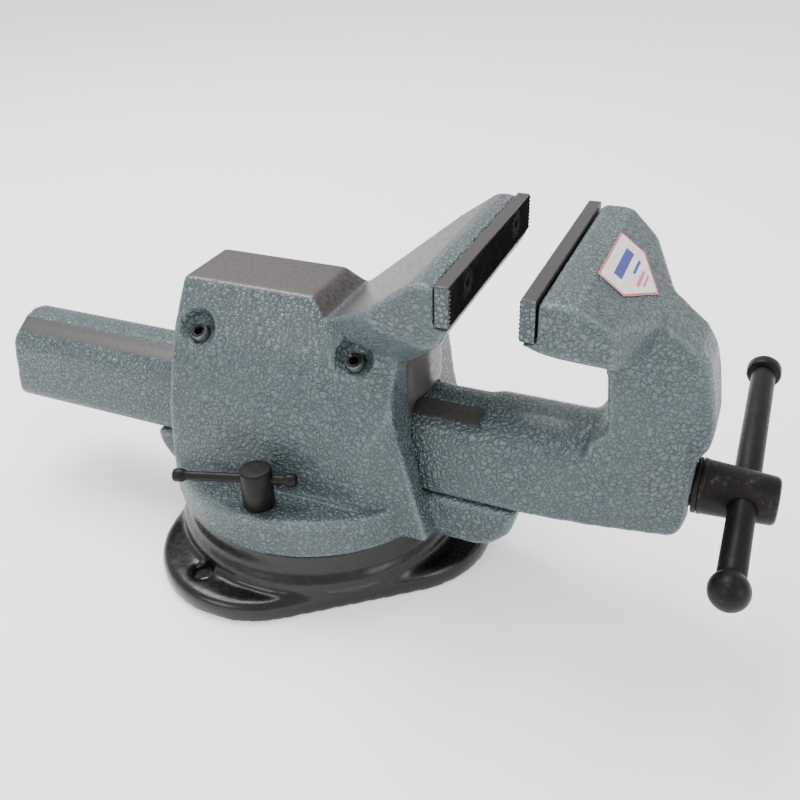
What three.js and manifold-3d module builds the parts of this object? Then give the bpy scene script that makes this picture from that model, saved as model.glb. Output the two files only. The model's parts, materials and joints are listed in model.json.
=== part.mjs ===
// Bench vise with a swivel base, as an assembly of separate pieces.
//
// Frame: +Z up, origin on the swivel axis at the underside of the base. +X runs along the sliding
// beam towards the screw head and handle, +Y across the jaws. Millimetres.

import * as THREE from 'three';
import { ConvexGeometry } from 'three/addons/geometries/ConvexGeometry.js';
import { mergeVertices } from 'three/addons/utils/BufferGeometryUtils.js';
import Module from 'manifold-3d';

const wasm = await Module();
wasm.setup();

// ---------------------------------------------------------------- driving dimensions
// Fits
const TOUCH = 0.3; // left between two pieces that rest on or in each other
const RUN_FIT = 0.35; // radial clearance of a turning or sliding pin, over its facets
const SLIDE_FIT = 0.6; // between the beam and the tunnel it slides in

// Jaws
const JAW_WIDTH = 125;
const JAW_TOP = 197;
const JAW_OPENING = 29.7;
const FACE_X = 104; // gripping face of the fixed jaw
const PLATE_THICK = 7.5;
const PLATE_HEIGHT = 19.7;
const PLATE_SCREW_SPACING = 75;
const PLATE_SCREW_DROP = 8; // jaw top to screw axis
const PLATE_SCREW_R = 3;
const PLATE_SCREW_HEAD_R = 5.6;
const PLATE_SCREW_SUNK = 0.6;
const PLATE_SCREW_LENGTH = 16;
const JAW_FLAT = 15.5; // flat top behind each plate
const JAW_BACK_SLOPE = 0.75; // fall of the back of each jaw, per mm

// Anvil
const ANVIL_TOP = 159.5;
const ANVIL_HALF_WIDTH = 21;
const ANVIL_REAR_X = -64.6;
const ANVIL_FRONT_X = 15;

// Beam of the sliding jaw
const BEAM_TOP = 107.5;
const BEAM_BOTTOM = 57;
const BEAM_HALF_WIDTH = 27;
const BEAM_REAR_X = -203;
const BEAM_PROUD = 1; // how far the unmachined front of the beam stands proud
const CHANNEL_HALF_WIDTH = 17;
const CHANNEL_TOP = 98;
const CHANNEL_FRONT_X = 172;

// Sliding jaw
const NECK_INNER_X = 165;
const NECK_FRONT_X = 208.7;
const NECK_FRONT_HALF_WIDTH = 14.5;

// Body
const BODY_BOTTOM = 36;
const BODY_FRONT_X = 66;
const LEDGE_Z = 58;
const SHELF_FRONT_X = 128;
const SHELF_REAR_X = -96;
const SHELF_BOTTOM = 30;
const PIVOT_BOSS_R = 22;
const PIVOT_BOSS_DEPTH = 12;

// Swivel base
const FLANGE_THICK = 12;
const LOBE_DISTANCE = 44; // from the axis to the centre of each lobe's arc
const LOBE_R = 60;
const LOBE_ANGLE = -112; // degrees, first lobe
const BENCH_HOLE_R = 5.5;
const BENCH_HOLE_DISTANCE = 88;
const RING_TOP = 22;
const LOCK_RADIUS = 68; // swivel axis to the lock screws
const LOCK_SHANK_R = 5;
const SLOT_FLOOR = 7;
const SLOT_HEAD_TOP = 16;
const SLOT_NECK = 2 * LOCK_SHANK_R + 1;
const SLOT_HEAD = SLOT_NECK + 8;
const HUB_R = LOCK_RADIUS + SLOT_HEAD / 2 + 1.5;
const RING_R = HUB_R + 4;
const SKIRT_R = HUB_R + 3.3;
const T_NUT_LENGTH = 26;

// Pivot bolt
const PIVOT_BOLT_R = 8;
const PIVOT_BOLT_LENGTH = 38;
const PIVOT_HEAD_R = 13.5;
const PIVOT_HEAD_HEIGHT = 9;
const PIVOT_WASHER_R = 26;
const PIVOT_WASHER_THICK = 4;
const PIVOT_RECESS_DEPTH = 15;

// Main screw
const SCREW_Z = 80.7;
const SCREW_R = 11;
const SCREW_REAR_X = -186;
const SCREW_HEAD_R = 14;
const SCREW_HEAD_END_R = 11.8;
const SCREW_HEAD_LENGTH = 35.6;
const SCREW_WASHER_THICK = 2.4;
const HANDLE_HOLE_X = 232;
const COLLAR_R = 15;
const COLLAR_WIDTH = 11;
const COLLAR_PIN_R = 2.5;

// Handle
const HANDLE_R = 6.5;
const BALL_CENTRE = -65; // along the bar, from the screw axis
const CAP_FACE = 107;
const HANDLE_TILT = 4; // degrees, far end up
const BALL_R = 9.2;
const CAP_R = 9.3;
const CAP_LENGTH = 9;
const SPIGOT_R = 4;
const SPIGOT_LENGTH = 6;

// Screw nut
const NUT_REAR_X = -62;
const NUT_LENGTH = 48;
const NUT_BOLT_R = 4;
const NUT_BOLT_HEAD_R = 6.5;
const NUT_BOLT_HEAD_HEIGHT = 8;
const NUT_BOLT_REACH = 10;

// Lock screws
const LOCK_HEAD_R = 8.5;
const LOCK_HEAD_HEIGHT = 22.5;
const LOCK_BAR_R = 2.5;
const LOCK_BAR_HEIGHT = 16; // above the ledge
const LOCK_BAR_LONG = 45;
const LOCK_BAR_SHORT = 21.5;
const LOCK_BAR_ANGLE = 17; // degrees from +X
const LOCK_KNOB_R = 3.6;
const LOCK_KNOB_LENGTH = 7;

// Guide gibs and their adjusting screws
const GIB_WIDTH = 8.2;
const GIB_THICK = 5;
const GIB_LENGTH = 112;
const GIB_CENTRE_X = -3.5;
const GIB_SCREW_SPACING = 92.5;
const GIB_SCREW_R = 4.6;
const GIB_SOCKET_R = 2.7;
const GIB_SOCKET_DEPTH = 7;
const GIB_SCREW_END = 38.5; // from the strip, along the screw
const POCKET_R = 10.5;
const POCKET_FLOOR = 35.5;
const POCKET_MOUTH = 52;

// Label
const LABEL_THICK = 0.4;
const LABEL_HALF_WIDTH = 25;
const LABEL_SIDE = 15;
const LABEL_TIP = 29;

// ---------------------------------------------------------------- geometry helpers
const rad = THREE.MathUtils.degToRad;

// A closed geometry as a solid that can be joined and cut.
function solid(geometry) {
  const bare = geometry.clone();
  bare.deleteAttribute('normal');
  bare.deleteAttribute('uv');
  const merged = mergeVertices(bare, 1e-4);
  const mesh = new wasm.Mesh({
    numProp: 3,
    vertProperties: new Float32Array(merged.attributes.position.array),
    triVerts: new Uint32Array(merged.index.array),
  });
  return new wasm.Manifold(mesh);
}

// The finished solid as a three.js geometry.
function geometryOf(body) {
  const mesh = body.getMesh();
  const geometry = new THREE.BufferGeometry();
  geometry.setAttribute('position', new THREE.BufferAttribute(new Float32Array(mesh.vertProperties), 3));
  geometry.setIndex(new THREE.BufferAttribute(new Uint32Array(mesh.triVerts), 1));
  return geometry;
}

function united(parts) {
  return parts.reduce((whole, part) => whole.add(part));
}

// A closed outline. Each point is [x, y] or [x, y, radius] where the corner is rounded.
function outline(points) {
  const shape = new THREE.Shape();
  points.forEach((point, i) => {
    const corner = new THREE.Vector2(point[0], point[1]);
    const radius = point[2] ?? 0;
    const before = new THREE.Vector2(...points[(i + points.length - 1) % points.length].slice(0, 2));
    const after = new THREE.Vector2(...points[(i + 1) % points.length].slice(0, 2));
    const back = before.sub(corner);
    const ahead = after.sub(corner);
    const reach = Math.min(radius, back.length() * 0.49, ahead.length() * 0.49);
    const start = corner.clone().add(back.setLength(reach));
    const end = corner.clone().add(ahead.setLength(reach));
    if (i === 0) {
      shape.moveTo(start.x, start.y);
    } else {
      shape.lineTo(start.x, start.y);
    }
    if (radius > 0) {
      shape.quadraticCurveTo(corner.x, corner.y, end.x, end.y);
    }
  });
  return shape;
}

function extruded(shape, depth) {
  return new THREE.ExtrudeGeometry(shape, { depth, bevelEnabled: false, curveSegments: 5 });
}

// Outline in (x, z), from y0 to y1.
function alongY(points, y0, y1) {
  const geometry = extruded(outline(points), y1 - y0);
  geometry.rotateX(Math.PI / 2);
  geometry.translate(0, y1, 0);
  return solid(geometry);
}

// Outline in (y, z), from x0 to x1.
function alongX(points, x0, x1) {
  const geometry = extruded(outline(points), x1 - x0);
  const turn = new THREE.Matrix4().makeBasis(
    new THREE.Vector3(0, 1, 0), new THREE.Vector3(0, 0, 1), new THREE.Vector3(1, 0, 0),
  );
  geometry.applyMatrix4(turn);
  geometry.translate(x0, 0, 0);
  return solid(geometry);
}

// Outline in (x, y), from z0 to z1.
function alongZ(points, z0, z1) {
  const geometry = extruded(outline(points), z1 - z0);
  geometry.translate(0, 0, z0);
  return solid(geometry);
}

function block(x0, x1, y0, y1, z0, z1) {
  const geometry = new THREE.BoxGeometry(x1 - x0, y1 - y0, z1 - z0);
  geometry.translate((x0 + x1) / 2, (y0 + y1) / 2, (z0 + z1) / 2);
  return solid(geometry);
}

// A round pin, or a taper, between two points.
function pin(from, to, r0, r1 = r0, sides = 24) {
  const start = new THREE.Vector3(...from);
  const end = new THREE.Vector3(...to);
  const axis = end.clone().sub(start);
  const geometry = new THREE.CylinderGeometry(r1, r0, axis.length(), sides);
  geometry.translate(0, axis.length() / 2, 0);
  const turn = new THREE.Quaternion().setFromUnitVectors(new THREE.Vector3(0, 1, 0), axis.normalize());
  geometry.applyQuaternion(turn);
  geometry.translate(start.x, start.y, start.z);
  return solid(geometry);
}

// A solid of revolution about a Z axis through place. The profile is [radius, z] and closes on
// itself or on the axis.
function turned(profile, sides = 48, place = [0, 0, 0]) {
  const points = profile.map(([r, z]) => new THREE.Vector2(r, z));
  const geometry = new THREE.LatheGeometry(points, sides);
  geometry.rotateX(Math.PI / 2);
  geometry.translate(...place);
  const merged = mergeVertices(stripped(geometry), 1e-4);
  return solid(dropSlivers(merged));
}

function stripped(geometry) {
  geometry.deleteAttribute('normal');
  geometry.deleteAttribute('uv');
  return geometry;
}

// Lathe poles leave triangles with two equal corners, which are dropped.
function dropSlivers(geometry) {
  const index = [];
  const source = geometry.index.array;
  for (let i = 0; i < source.length; i += 3) {
    const [a, b, c] = [source[i], source[i + 1], source[i + 2]];
    if (a !== b && b !== c && c !== a) {
      index.push(a, b, c);
    }
  }
  geometry.setIndex(index);
  return geometry;
}

function hull(points) {
  return solid(new ConvexGeometry(points.map((point) => new THREE.Vector3(...point))));
}

// The outline moved outwards by d, each edge along its own normal. Counter-clockwise points.
function grown(points, d) {
  return points.map((point, i) => {
    const before = points[(i + points.length - 1) % points.length];
    const after = points[(i + 1) % points.length];
    const in1 = new THREE.Vector2(point[0] - before[0], point[1] - before[1]).normalize();
    const in2 = new THREE.Vector2(after[0] - point[0], after[1] - point[1]).normalize();
    const n1 = new THREE.Vector2(in1.y, -in1.x);
    const n2 = new THREE.Vector2(in2.y, -in2.x);
    const scale = d / (1 + n1.dot(n2));
    return [point[0] + (n1.x + n2.x) * scale, point[1] + (n1.y + n2.y) * scale];
  });
}

// Right half of a symmetric outline, from the bottom up, with its mirror image added.
function mirrored(half) {
  const other = half.filter(([y]) => y !== 0).map(([y, z, r]) => [-y, z, r]);
  return [...half, ...other.reverse()];
}

// ---------------------------------------------------------------- shared places
const MOVING_FACE_X = FACE_X + JAW_OPENING;
const HALF_JAW = JAW_WIDTH / 2;
const PLATE_BOTTOM = JAW_TOP - PLATE_HEIGHT;
const FIXED_SEAT_X = FACE_X - PLATE_THICK;
const MOVING_SEAT_X = MOVING_FACE_X + PLATE_THICK;
const FLOOR_Z = BEAM_BOTTOM - SLIDE_FIT;
const PIVOT_HEAD_TOP = PIVOT_RECESS_DEPTH - PIVOT_WASHER_THICK - 2 * TOUCH;
const FIXED_RIDGE_X = FACE_X - JAW_FLAT - 1.5;
const MOVING_RIDGE_X = MOVING_SEAT_X + JAW_FLAT;
const PLATE_SCREW_Z = JAW_TOP - PLATE_SCREW_DROP;
const PLATE_SCREW_CONE = PLATE_SCREW_HEAD_R - PLATE_SCREW_R;
const PLATE_HOLE_DEPTH = PLATE_SCREW_LENGTH + PLATE_SCREW_SUNK - PLATE_THICK + 1;

// Beam section: crown, milled guide strips at a slope, shoulder, side and bottom corner.
const STRIP_IN = [8.6, BEAM_TOP - 2.4];
const STRIP_OUT = [17.6, BEAM_TOP - 8];
const SHOULDER_Y = BEAM_HALF_WIDTH - 3.5;
function beamHalf() {
  return [
    [BEAM_HALF_WIDTH - 2, BEAM_BOTTOM],
    [BEAM_HALF_WIDTH, BEAM_BOTTOM + 4],
    [SHOULDER_Y, BEAM_TOP - 16],
    [SHOULDER_Y - 1.5, BEAM_TOP - 12],
    STRIP_OUT,
    STRIP_IN,
    [8, BEAM_TOP - 1],
    [0, BEAM_TOP],
  ];
}

// The unmachined front of the beam has no milled strip.
function proudHalf() {
  return [
    [BEAM_HALF_WIDTH - 2, BEAM_BOTTOM],
    [BEAM_HALF_WIDTH, BEAM_BOTTOM + 4],
    [SHOULDER_Y, BEAM_TOP - 14],
    [SHOULDER_Y - 2.5, BEAM_TOP - 9.5],
    [STRIP_OUT[0] - 1, BEAM_TOP - 5.5 + BEAM_PROUD],
    [8.5, BEAM_TOP - 1 + BEAM_PROUD],
    [0, BEAM_TOP + BEAM_PROUD],
  ];
}

// Channel inside the beam, open below, from a height up.
function channelHalf(bottom) {
  return [
    [CHANNEL_HALF_WIDTH, bottom],
    [CHANNEL_HALF_WIDTH, CHANNEL_TOP - 16],
    [CHANNEL_HALF_WIDTH - 5, CHANNEL_TOP - 5],
    [0, CHANNEL_TOP],
  ];
}

// Guide strip: its middle, and the direction square to it, on the side given by sign.
const STRIP_MIDDLE = [(STRIP_IN[0] + STRIP_OUT[0]) / 2, (STRIP_IN[1] + STRIP_OUT[1]) / 2];
const STRIP_ANGLE = Math.atan2(STRIP_IN[1] - STRIP_OUT[1], STRIP_OUT[0] - STRIP_IN[0]);
function offStrip(x, side, distance) {
  const y = STRIP_MIDDLE[0] + Math.sin(STRIP_ANGLE) * distance;
  return [x, side * y, STRIP_MIDDLE[1] + Math.cos(STRIP_ANGLE) * distance];
}
const GIB_SCREW_PLACES = [GIB_CENTRE_X - GIB_SCREW_SPACING / 2, GIB_CENTRE_X + GIB_SCREW_SPACING / 2];

// A bar lying on the guide strip, between two distances from it.
function stripBar(side, length, width, near, far) {
  const geometry = new THREE.BoxGeometry(length, width, far - near);
  geometry.rotateX(-side * STRIP_ANGLE);
  geometry.translate(...offStrip(GIB_CENTRE_X, side, (near + far) / 2));
  return solid(geometry);
}

// Tapped hole for a plate screw, between two [x, y] places.
function plateHole(from, to) {
  return pin([...from, PLATE_SCREW_Z], [...to, PLATE_SCREW_Z], PLATE_SCREW_R + RUN_FIT);
}

// ---------------------------------------------------------------- swivel base
function flangeOutline() {
  const shape = new THREE.Shape();
  const count = 3;
  for (let i = 0; i < count; i += 1) {
    const angle = rad(LOBE_ANGLE + (i * 360) / count);
    const half = Math.PI / count;
    const x = LOBE_DISTANCE * Math.cos(angle);
    const y = LOBE_DISTANCE * Math.sin(angle);
    shape.absarc(x, y, LOBE_R, angle - half, angle + half, false);
  }
  return shape;
}

function swivelBase() {
  const edge = 3;
  const geometry = new THREE.ExtrudeGeometry(flangeOutline(), {
    depth: FLANGE_THICK - edge,
    bevelEnabled: true,
    bevelThickness: edge,
    bevelSize: edge,
    bevelOffset: -edge,
    bevelSegments: 1,
    curveSegments: 10,
  });
  const top = block(-200, 200, -200, 200, 0, 100);
  const flange = solid(geometry).intersect(top);
  const hub = turned([
    [0, 0.5], [HUB_R - 5, 0.5], [HUB_R - 5, FLANGE_THICK - 5], [RING_R, FLANGE_THICK + 1],
    [RING_R, RING_TOP - 4], [RING_R - 3, RING_TOP], [HUB_R, RING_TOP],
    [HUB_R, BODY_BOTTOM - TOUCH], [0, BODY_BOTTOM - TOUCH],
  ]);
  const neckHalf = SLOT_NECK / 2;
  const slotNeck = ring(LOCK_RADIUS - neckHalf, LOCK_RADIUS + neckHalf, SLOT_FLOOR, BODY_BOTTOM + 1);
  const slotHead = ring(LOCK_RADIUS - SLOT_HEAD / 2, LOCK_RADIUS + SLOT_HEAD / 2, SLOT_FLOOR, SLOT_HEAD_TOP);
  const wayIn = ring(LOCK_RADIUS - SLOT_HEAD / 2, LOCK_RADIUS + SLOT_HEAD / 2, SLOT_FLOOR, BODY_BOTTOM + 1)
    .intersect(block(0, 100, -T_NUT_LENGTH / 2 - 2, T_NUT_LENGTH / 2 + 2, 0, 100));
  const bossFloor = BODY_BOTTOM - PIVOT_BOSS_DEPTH - 0.5;
  const bossBore = pin([0, 0, bossFloor], [0, 0, 60], PIVOT_BOSS_R + RUN_FIT + 0.2, undefined, 48);
  const boltBore = pin([0, 0, -1], [0, 0, 60], PIVOT_BOLT_R + 1);
  const recess = pin([0, 0, -1], [0, 0, PIVOT_RECESS_DEPTH], PIVOT_WASHER_R + 2, undefined, 48);
  let base = flange.add(hub);
  for (const cut of [slotNeck, slotHead, wayIn, bossBore, boltBore, recess]) {
    base = base.subtract(cut);
  }
  for (let i = 0; i < 3; i += 1) {
    const angle = rad(LOBE_ANGLE + i * 120);
    const [x, y] = [BENCH_HOLE_DISTANCE * Math.cos(angle), BENCH_HOLE_DISTANCE * Math.sin(angle)];
    base = base.subtract(pin([x, y, -1], [x, y, FLANGE_THICK + 1], BENCH_HOLE_R, undefined, 24));
  }
  return base;
}

function ring(inner, outer, z0, z1) {
  return turned([[inner, z0], [outer, z0], [outer, z1], [inner, z1], [inner, z0]]);
}

function pivotBolt() {
  const headTop = PIVOT_HEAD_TOP;
  const head = pin([0, 0, headTop - PIVOT_HEAD_HEIGHT], [0, 0, headTop], PIVOT_HEAD_R, undefined, 6);
  return head.add(pin([0, 0, headTop - 1], [0, 0, headTop + PIVOT_BOLT_LENGTH], PIVOT_BOLT_R));
}

function pivotWasher() {
  const top = PIVOT_RECESS_DEPTH - TOUCH;
  return ring(PIVOT_BOLT_R + RUN_FIT, PIVOT_WASHER_R, top - PIVOT_WASHER_THICK, top);
}

// ---------------------------------------------------------------- body casting
// Half width of the body at a height: upright near the base, leaning in towards the anvil.
const BODY_HALF_SECTION = [
  [53.5, BODY_BOTTOM], [53.5, 62], [52, 81], [49.5, 97], [43, 118], [36, 136],
  [ANVIL_HALF_WIDTH, ANVIL_TOP],
];

function bodyCore() {
  const valleyX = ANVIL_FRONT_X + 9;
  const side = alongY([
    [ANVIL_REAR_X, BODY_BOTTOM], [BODY_FRONT_X + 19, BODY_BOTTOM], [BODY_FRONT_X + 12, 60],
    [BODY_FRONT_X + 7, 81], [BODY_FRONT_X + 3.5, 95], [BODY_FRONT_X + 1, 110], [BODY_FRONT_X, 124],
    [BODY_FRONT_X + 2, 147], [BODY_FRONT_X, 170], [slopeX(165), 165], [valleyX, ANVIL_TOP - 10],
    [ANVIL_FRONT_X, ANVIL_TOP], [ANVIL_REAR_X, ANVIL_TOP],
  ], -HALF_JAW, HALF_JAW);
  const front = alongX(mirrored(BODY_HALF_SECTION), ANVIL_REAR_X - 1, FACE_X);
  const plan = alongZ(mirroredPlan([
    [ANVIL_REAR_X - 1, 60], [38, 60], [BODY_FRONT_X + 4, 42], [BODY_FRONT_X + 20, 42],
  ]), 0, JAW_TOP);
  return side.intersect(front).intersect(plan);
}

// Outline in (x, y) given by its +y edge from rear to front.
function mirroredPlan(edge) {
  return [...edge.map(([x, y]) => [x, -y]), ...edge.slice().reverse()];
}

// The back of the fixed jaw falls from its ridge at a steady slope.
function slopeX(z) {
  return FIXED_RIDGE_X - (JAW_TOP - z) / JAW_BACK_SLOPE;
}

// Nose between the beam and the jaw, and the jaw's own head with its two wings.
function fixedJaw() {
  const root = 25;
  const rootX = slopeX(ANVIL_TOP - 9);
  const seat = FIXED_SEAT_X;
  const nose = alongZ(mirroredPlan([
    [20, 26], [BODY_FRONT_X - 1, 26], [BODY_FRONT_X + 3, 20], [BODY_FRONT_X + 8, 8],
  ]), BEAM_TOP, 160).intersect(alongY([
    [20, BEAM_TOP], [BODY_FRONT_X + 12, BEAM_TOP], [BODY_FRONT_X + 12, 160], [slopeX(160), 160],
    [rootX, ANVIL_TOP - 9], [20, ANVIL_TOP - 12],
  ], -30, 30));
  const inner = [
    [rootX, root, ANVIL_TOP - 9], [slopeX(163), 31, 163], [rootX + 8, root + 4, 138],
    [BODY_FRONT_X + 6, 30, 138], [98, 34, PLATE_BOTTOM - 10], [FACE_X - 0.5, 34, PLATE_BOTTOM - 0.4],
    [FACE_X - 0.5, 34, PLATE_BOTTOM], [seat, 34, JAW_TOP - 0.3], [FIXED_RIDGE_X, 34, JAW_TOP - 0.3],
  ];
  const tip = [
    [slopeX(181), HALF_JAW, 181], [slopeX(181) - 1, HALF_JAW, 176], [slopeX(181) + 4, HALF_JAW, 171],
    [92, HALF_JAW, 165], [98.5, HALF_JAW, 167.5], [FACE_X - 0.5, HALF_JAW, PLATE_BOTTOM - 0.4],
    [FACE_X - 0.5, HALF_JAW, PLATE_BOTTOM], [seat, HALF_JAW, JAW_TOP - 0.3],
    [FIXED_RIDGE_X, HALF_JAW, JAW_TOP - 0.3],
  ];
  const flip = ([x, y, z]) => [x, -y, z];
  const wing = hull([...inner, ...tip]);
  const otherWing = hull([...inner, ...tip].map(flip));
  const middle = hull([...inner, ...inner.map(flip)]);
  const reach = HALF_JAW + 1;
  const seatCut = block(seat - TOUCH, FACE_X + 20, -reach, reach, PLATE_BOTTOM - TOUCH, JAW_TOP + 1);
  return united([nose, wing, otherWing, middle]).subtract(seatCut);
}

function skirt() {
  return turned([
    [0, BODY_BOTTOM], [SKIRT_R, BODY_BOTTOM], [SKIRT_R, LEDGE_Z - 2.5], [SKIRT_R - 0.8, LEDGE_Z - 0.8],
    [SKIRT_R - 2.5, LEDGE_Z], [0, LEDGE_Z],
  ]);
}

// Floor under the beam, running out in front and behind.
function shelf() {
  const half = BEAM_HALF_WIDTH;
  return alongY([
    [SHELF_REAR_X + 8, SHELF_BOTTOM + 6], [BODY_FRONT_X + 19, SHELF_BOTTOM],
    [SHELF_FRONT_X - 16, SHELF_BOTTOM, 8],
    [SHELF_FRONT_X - 4, SHELF_BOTTOM + 12], [SHELF_FRONT_X, FLOOR_Z], [SHELF_REAR_X, FLOOR_Z, 2],
    [SHELF_REAR_X, SHELF_BOTTOM + 18, 8],
  ], -half, half);
}

function bodyCasting() {
  let body = united([bodyCore(), fixedJaw(), skirt(), shelf()]);
  body = body.subtract(block(-200, HUB_R + 2, -200, 200, 0, BODY_BOTTOM));
  const bossFoot = BODY_BOTTOM - PIVOT_BOSS_DEPTH;
  body = body.add(pin([0, 0, bossFoot], [0, 0, BODY_BOTTOM + 5], PIVOT_BOSS_R, undefined, 48));
  const cuts = [
    alongX(grown(mirrored(beamHalf()), SLIDE_FIT), -120, 160),
    pin([0, 0, 0], [0, 0, PIVOT_HEAD_TOP + PIVOT_BOLT_LENGTH + 1], PIVOT_BOLT_R + RUN_FIT),
  ];
  for (const side of [-1, 1]) {
    const far = GIB_THICK + 2 * TOUCH;
    cuts.push(stripBar(side, GIB_LENGTH + 2 * TOUCH, GIB_WIDTH + 2 * TOUCH, -1, far));
    for (const x of GIB_SCREW_PLACES) {
      const mouth = offStrip(x, side, POCKET_FLOOR + 1);
      cuts.push(pin(offStrip(x, side, far - 0.5), mouth, GIB_SCREW_R + RUN_FIT));
      cuts.push(pin(offStrip(x, side, POCKET_FLOOR), offStrip(x, side, POCKET_MOUTH), POCKET_R));
    }
    const y = side * LOCK_RADIUS;
    cuts.push(pin([0, y, BODY_BOTTOM - 1], [0, y, LEDGE_Z + 10], LOCK_SHANK_R + RUN_FIT));
    const [sx, sy] = [FIXED_SEAT_X, side * PLATE_SCREW_SPACING / 2];
    cuts.push(plateHole([sx - PLATE_HOLE_DEPTH, sy], [sx + 5, sy]));
  }
  for (const x of nutBoltPlaces()) {
    cuts.push(pin([x, 0, 0], [x, 0, BEAM_BOTTOM + 1], NUT_BOLT_R + RUN_FIT));
    cuts.push(pin([x, 0, 0], [x, 0, BODY_BOTTOM + NUT_BOLT_HEAD_HEIGHT + 1], NUT_BOLT_HEAD_R + 1));
  }
  return cuts.reduce((whole, cut) => whole.subtract(cut), body);
}

// ---------------------------------------------------------------- sliding jaw
function slidingJaw() {
  const seat = MOVING_SEAT_X;
  const front = NECK_FRONT_X;
  const slopeZ = (x) => JAW_TOP - 0.3 - JAW_BACK_SLOPE * (x - MOVING_RIDGE_X);
  const half = BEAM_HALF_WIDTH;
  const beam = alongX(mirrored(beamHalf()), BEAM_REAR_X, FACE_X + 4);
  const proud = alongX(mirrored(proudHalf()), FACE_X + 2, NECK_INNER_X + 12);
  const plan = alongZ(mirroredPlan([
    [BEAM_REAR_X - 1, half + 1], [FACE_X + 6, half + 1], [FACE_X + 24, half - 0.5],
    [NECK_INNER_X, half - 4.5],
    [front - 4, NECK_FRONT_HALF_WIDTH + 1.5], [front + 8, NECK_FRONT_HALF_WIDTH - 1.5],
  ]), 0, JAW_TOP);
  const neck = alongY([
    [NECK_INNER_X - 6, BEAM_BOTTOM], [front - 3, BEAM_BOTTOM, 7], [front, SCREW_Z - 10],
    [front, SCREW_Z + 22, 4], [front + 5, SCREW_Z + 29], [front + 6.3, SCREW_Z + 41],
    [front + 3.5, 141], [front + 0.3, slopeZ(front - 5) - 8], [front - 5, slopeZ(front - 5)],
    [MOVING_RIDGE_X, slopeZ(MOVING_RIDGE_X)], [seat, JAW_TOP - 0.3], [seat, PLATE_BOTTOM - 8],
    [NECK_INNER_X - 8, 159], [NECK_INNER_X - 1, 153, 4], [NECK_INNER_X + 3, BEAM_TOP + 6, 5],
    [NECK_INNER_X - 6, BEAM_TOP - 1],
  ], -half, half);
  const root = [
    [seat, 18, JAW_TOP - 0.3], [MOVING_RIDGE_X, 18, JAW_TOP - 0.3],
    [MOVING_RIDGE_X + 30, 18, slopeZ(MOVING_RIDGE_X + 30)],
    [MOVING_RIDGE_X + 26, 18, 158], [NECK_INNER_X - 1, 20, 155], [NECK_INNER_X - 15, 20, 160],
    [MOVING_FACE_X + 2, 18, PLATE_BOTTOM - 5], [MOVING_FACE_X + 0.5, 18, PLATE_BOTTOM],
  ];
  const tip = [
    [seat, HALF_JAW, JAW_TOP - 0.3], [MOVING_RIDGE_X, HALF_JAW, JAW_TOP - 0.3],
    [MOVING_RIDGE_X + 15, HALF_JAW - 7.5, slopeZ(MOVING_RIDGE_X + 15)],
    [MOVING_RIDGE_X + 17.5, HALF_JAW - 8.5, 166], [MOVING_RIDGE_X - 3, HALF_JAW, 173.5],
    [MOVING_FACE_X + 16, HALF_JAW, 172], [MOVING_FACE_X + 5, HALF_JAW, 174],
    [MOVING_FACE_X + 0.5, HALF_JAW, PLATE_BOTTOM],
  ];
  const flip = ([x, y, z]) => [x, -y, z];
  const wing = hull([...root, ...tip]);
  const otherWing = hull([...root, ...tip].map(flip));
  const middle = hull([...root, ...root.map(flip)]);
  const stem = united([beam, proud, neck]).intersect(plan);
  const jaw = united([stem, wing, otherWing, middle]);
  const cuts = [
    alongX(mirrored(channelHalf(0)), BEAM_REAR_X - 1, CHANNEL_FRONT_X),
    block(MOVING_FACE_X - 30, seat + TOUCH, -HALF_JAW - 1, HALF_JAW + 1, PLATE_BOTTOM - TOUCH, JAW_TOP + 1),
    pin([CHANNEL_FRONT_X - 5, 0, SCREW_Z], [front + 20, 0, SCREW_Z], SCREW_R + RUN_FIT),
  ];
  for (const side of [-1, 1]) {
    const y = (side * PLATE_SCREW_SPACING) / 2;
    cuts.push(plateHole([seat - 5, y], [seat + PLATE_HOLE_DEPTH, y]));
  }
  return cuts.reduce((whole, cut) => whole.subtract(cut), jaw);
}

// ---------------------------------------------------------------- jaw plates and their screws
// Each is made with its gripping face at x = 0, facing +X.
function jawPlate() {
  const half = HALF_JAW - TOUCH;
  const hole = PLATE_SCREW_R + RUN_FIT;
  const sink = PLATE_SCREW_SUNK + PLATE_SCREW_CONE;
  let plate = block(-PLATE_THICK + TOUCH, 0, -half, half, PLATE_BOTTOM, JAW_TOP);
  for (const side of [-1, 1]) {
    const y = (side * PLATE_SCREW_SPACING) / 2;
    plate = plate.subtract(pin([-20, y, PLATE_SCREW_Z], [1, y, PLATE_SCREW_Z], hole));
    plate = plate.subtract(pin([-sink, y, PLATE_SCREW_Z], [0.4, y, PLATE_SCREW_Z], hole, hole + sink + 0.4));
  }
  return plate;
}

function plateScrew() {
  const sunk = PLATE_SCREW_SUNK;
  const neck = -sunk - PLATE_SCREW_CONE;
  const head = pin([neck, 0, 0], [-sunk, 0, 0], PLATE_SCREW_R, PLATE_SCREW_HEAD_R, 24);
  const shank = pin([-sunk - PLATE_SCREW_LENGTH, 0, 0], [neck, 0, 0], PLATE_SCREW_R, undefined, 24);
  const socket = pin([-sunk - 2.2, 0, 0], [1, 0, 0], 2.2, undefined, 6);
  return head.add(shank).subtract(socket);
}

// ---------------------------------------------------------------- screw, collar, nut
// The screw group's origin is on the screw axis, so these are made about y = z = 0.
const WASHER_X = NECK_FRONT_X + TOUCH;
const SCREW_HEAD_X = WASHER_X + SCREW_WASHER_THICK + TOUCH;
const COLLAR_FRONT_X = CHANNEL_FRONT_X - TOUCH;
const COLLAR_PIN_X = COLLAR_FRONT_X - COLLAR_WIDTH / 2;

function handleDirection(distance) {
  return [0, distance * Math.cos(rad(HANDLE_TILT)), distance * Math.sin(rad(HANDLE_TILT))];
}

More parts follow.
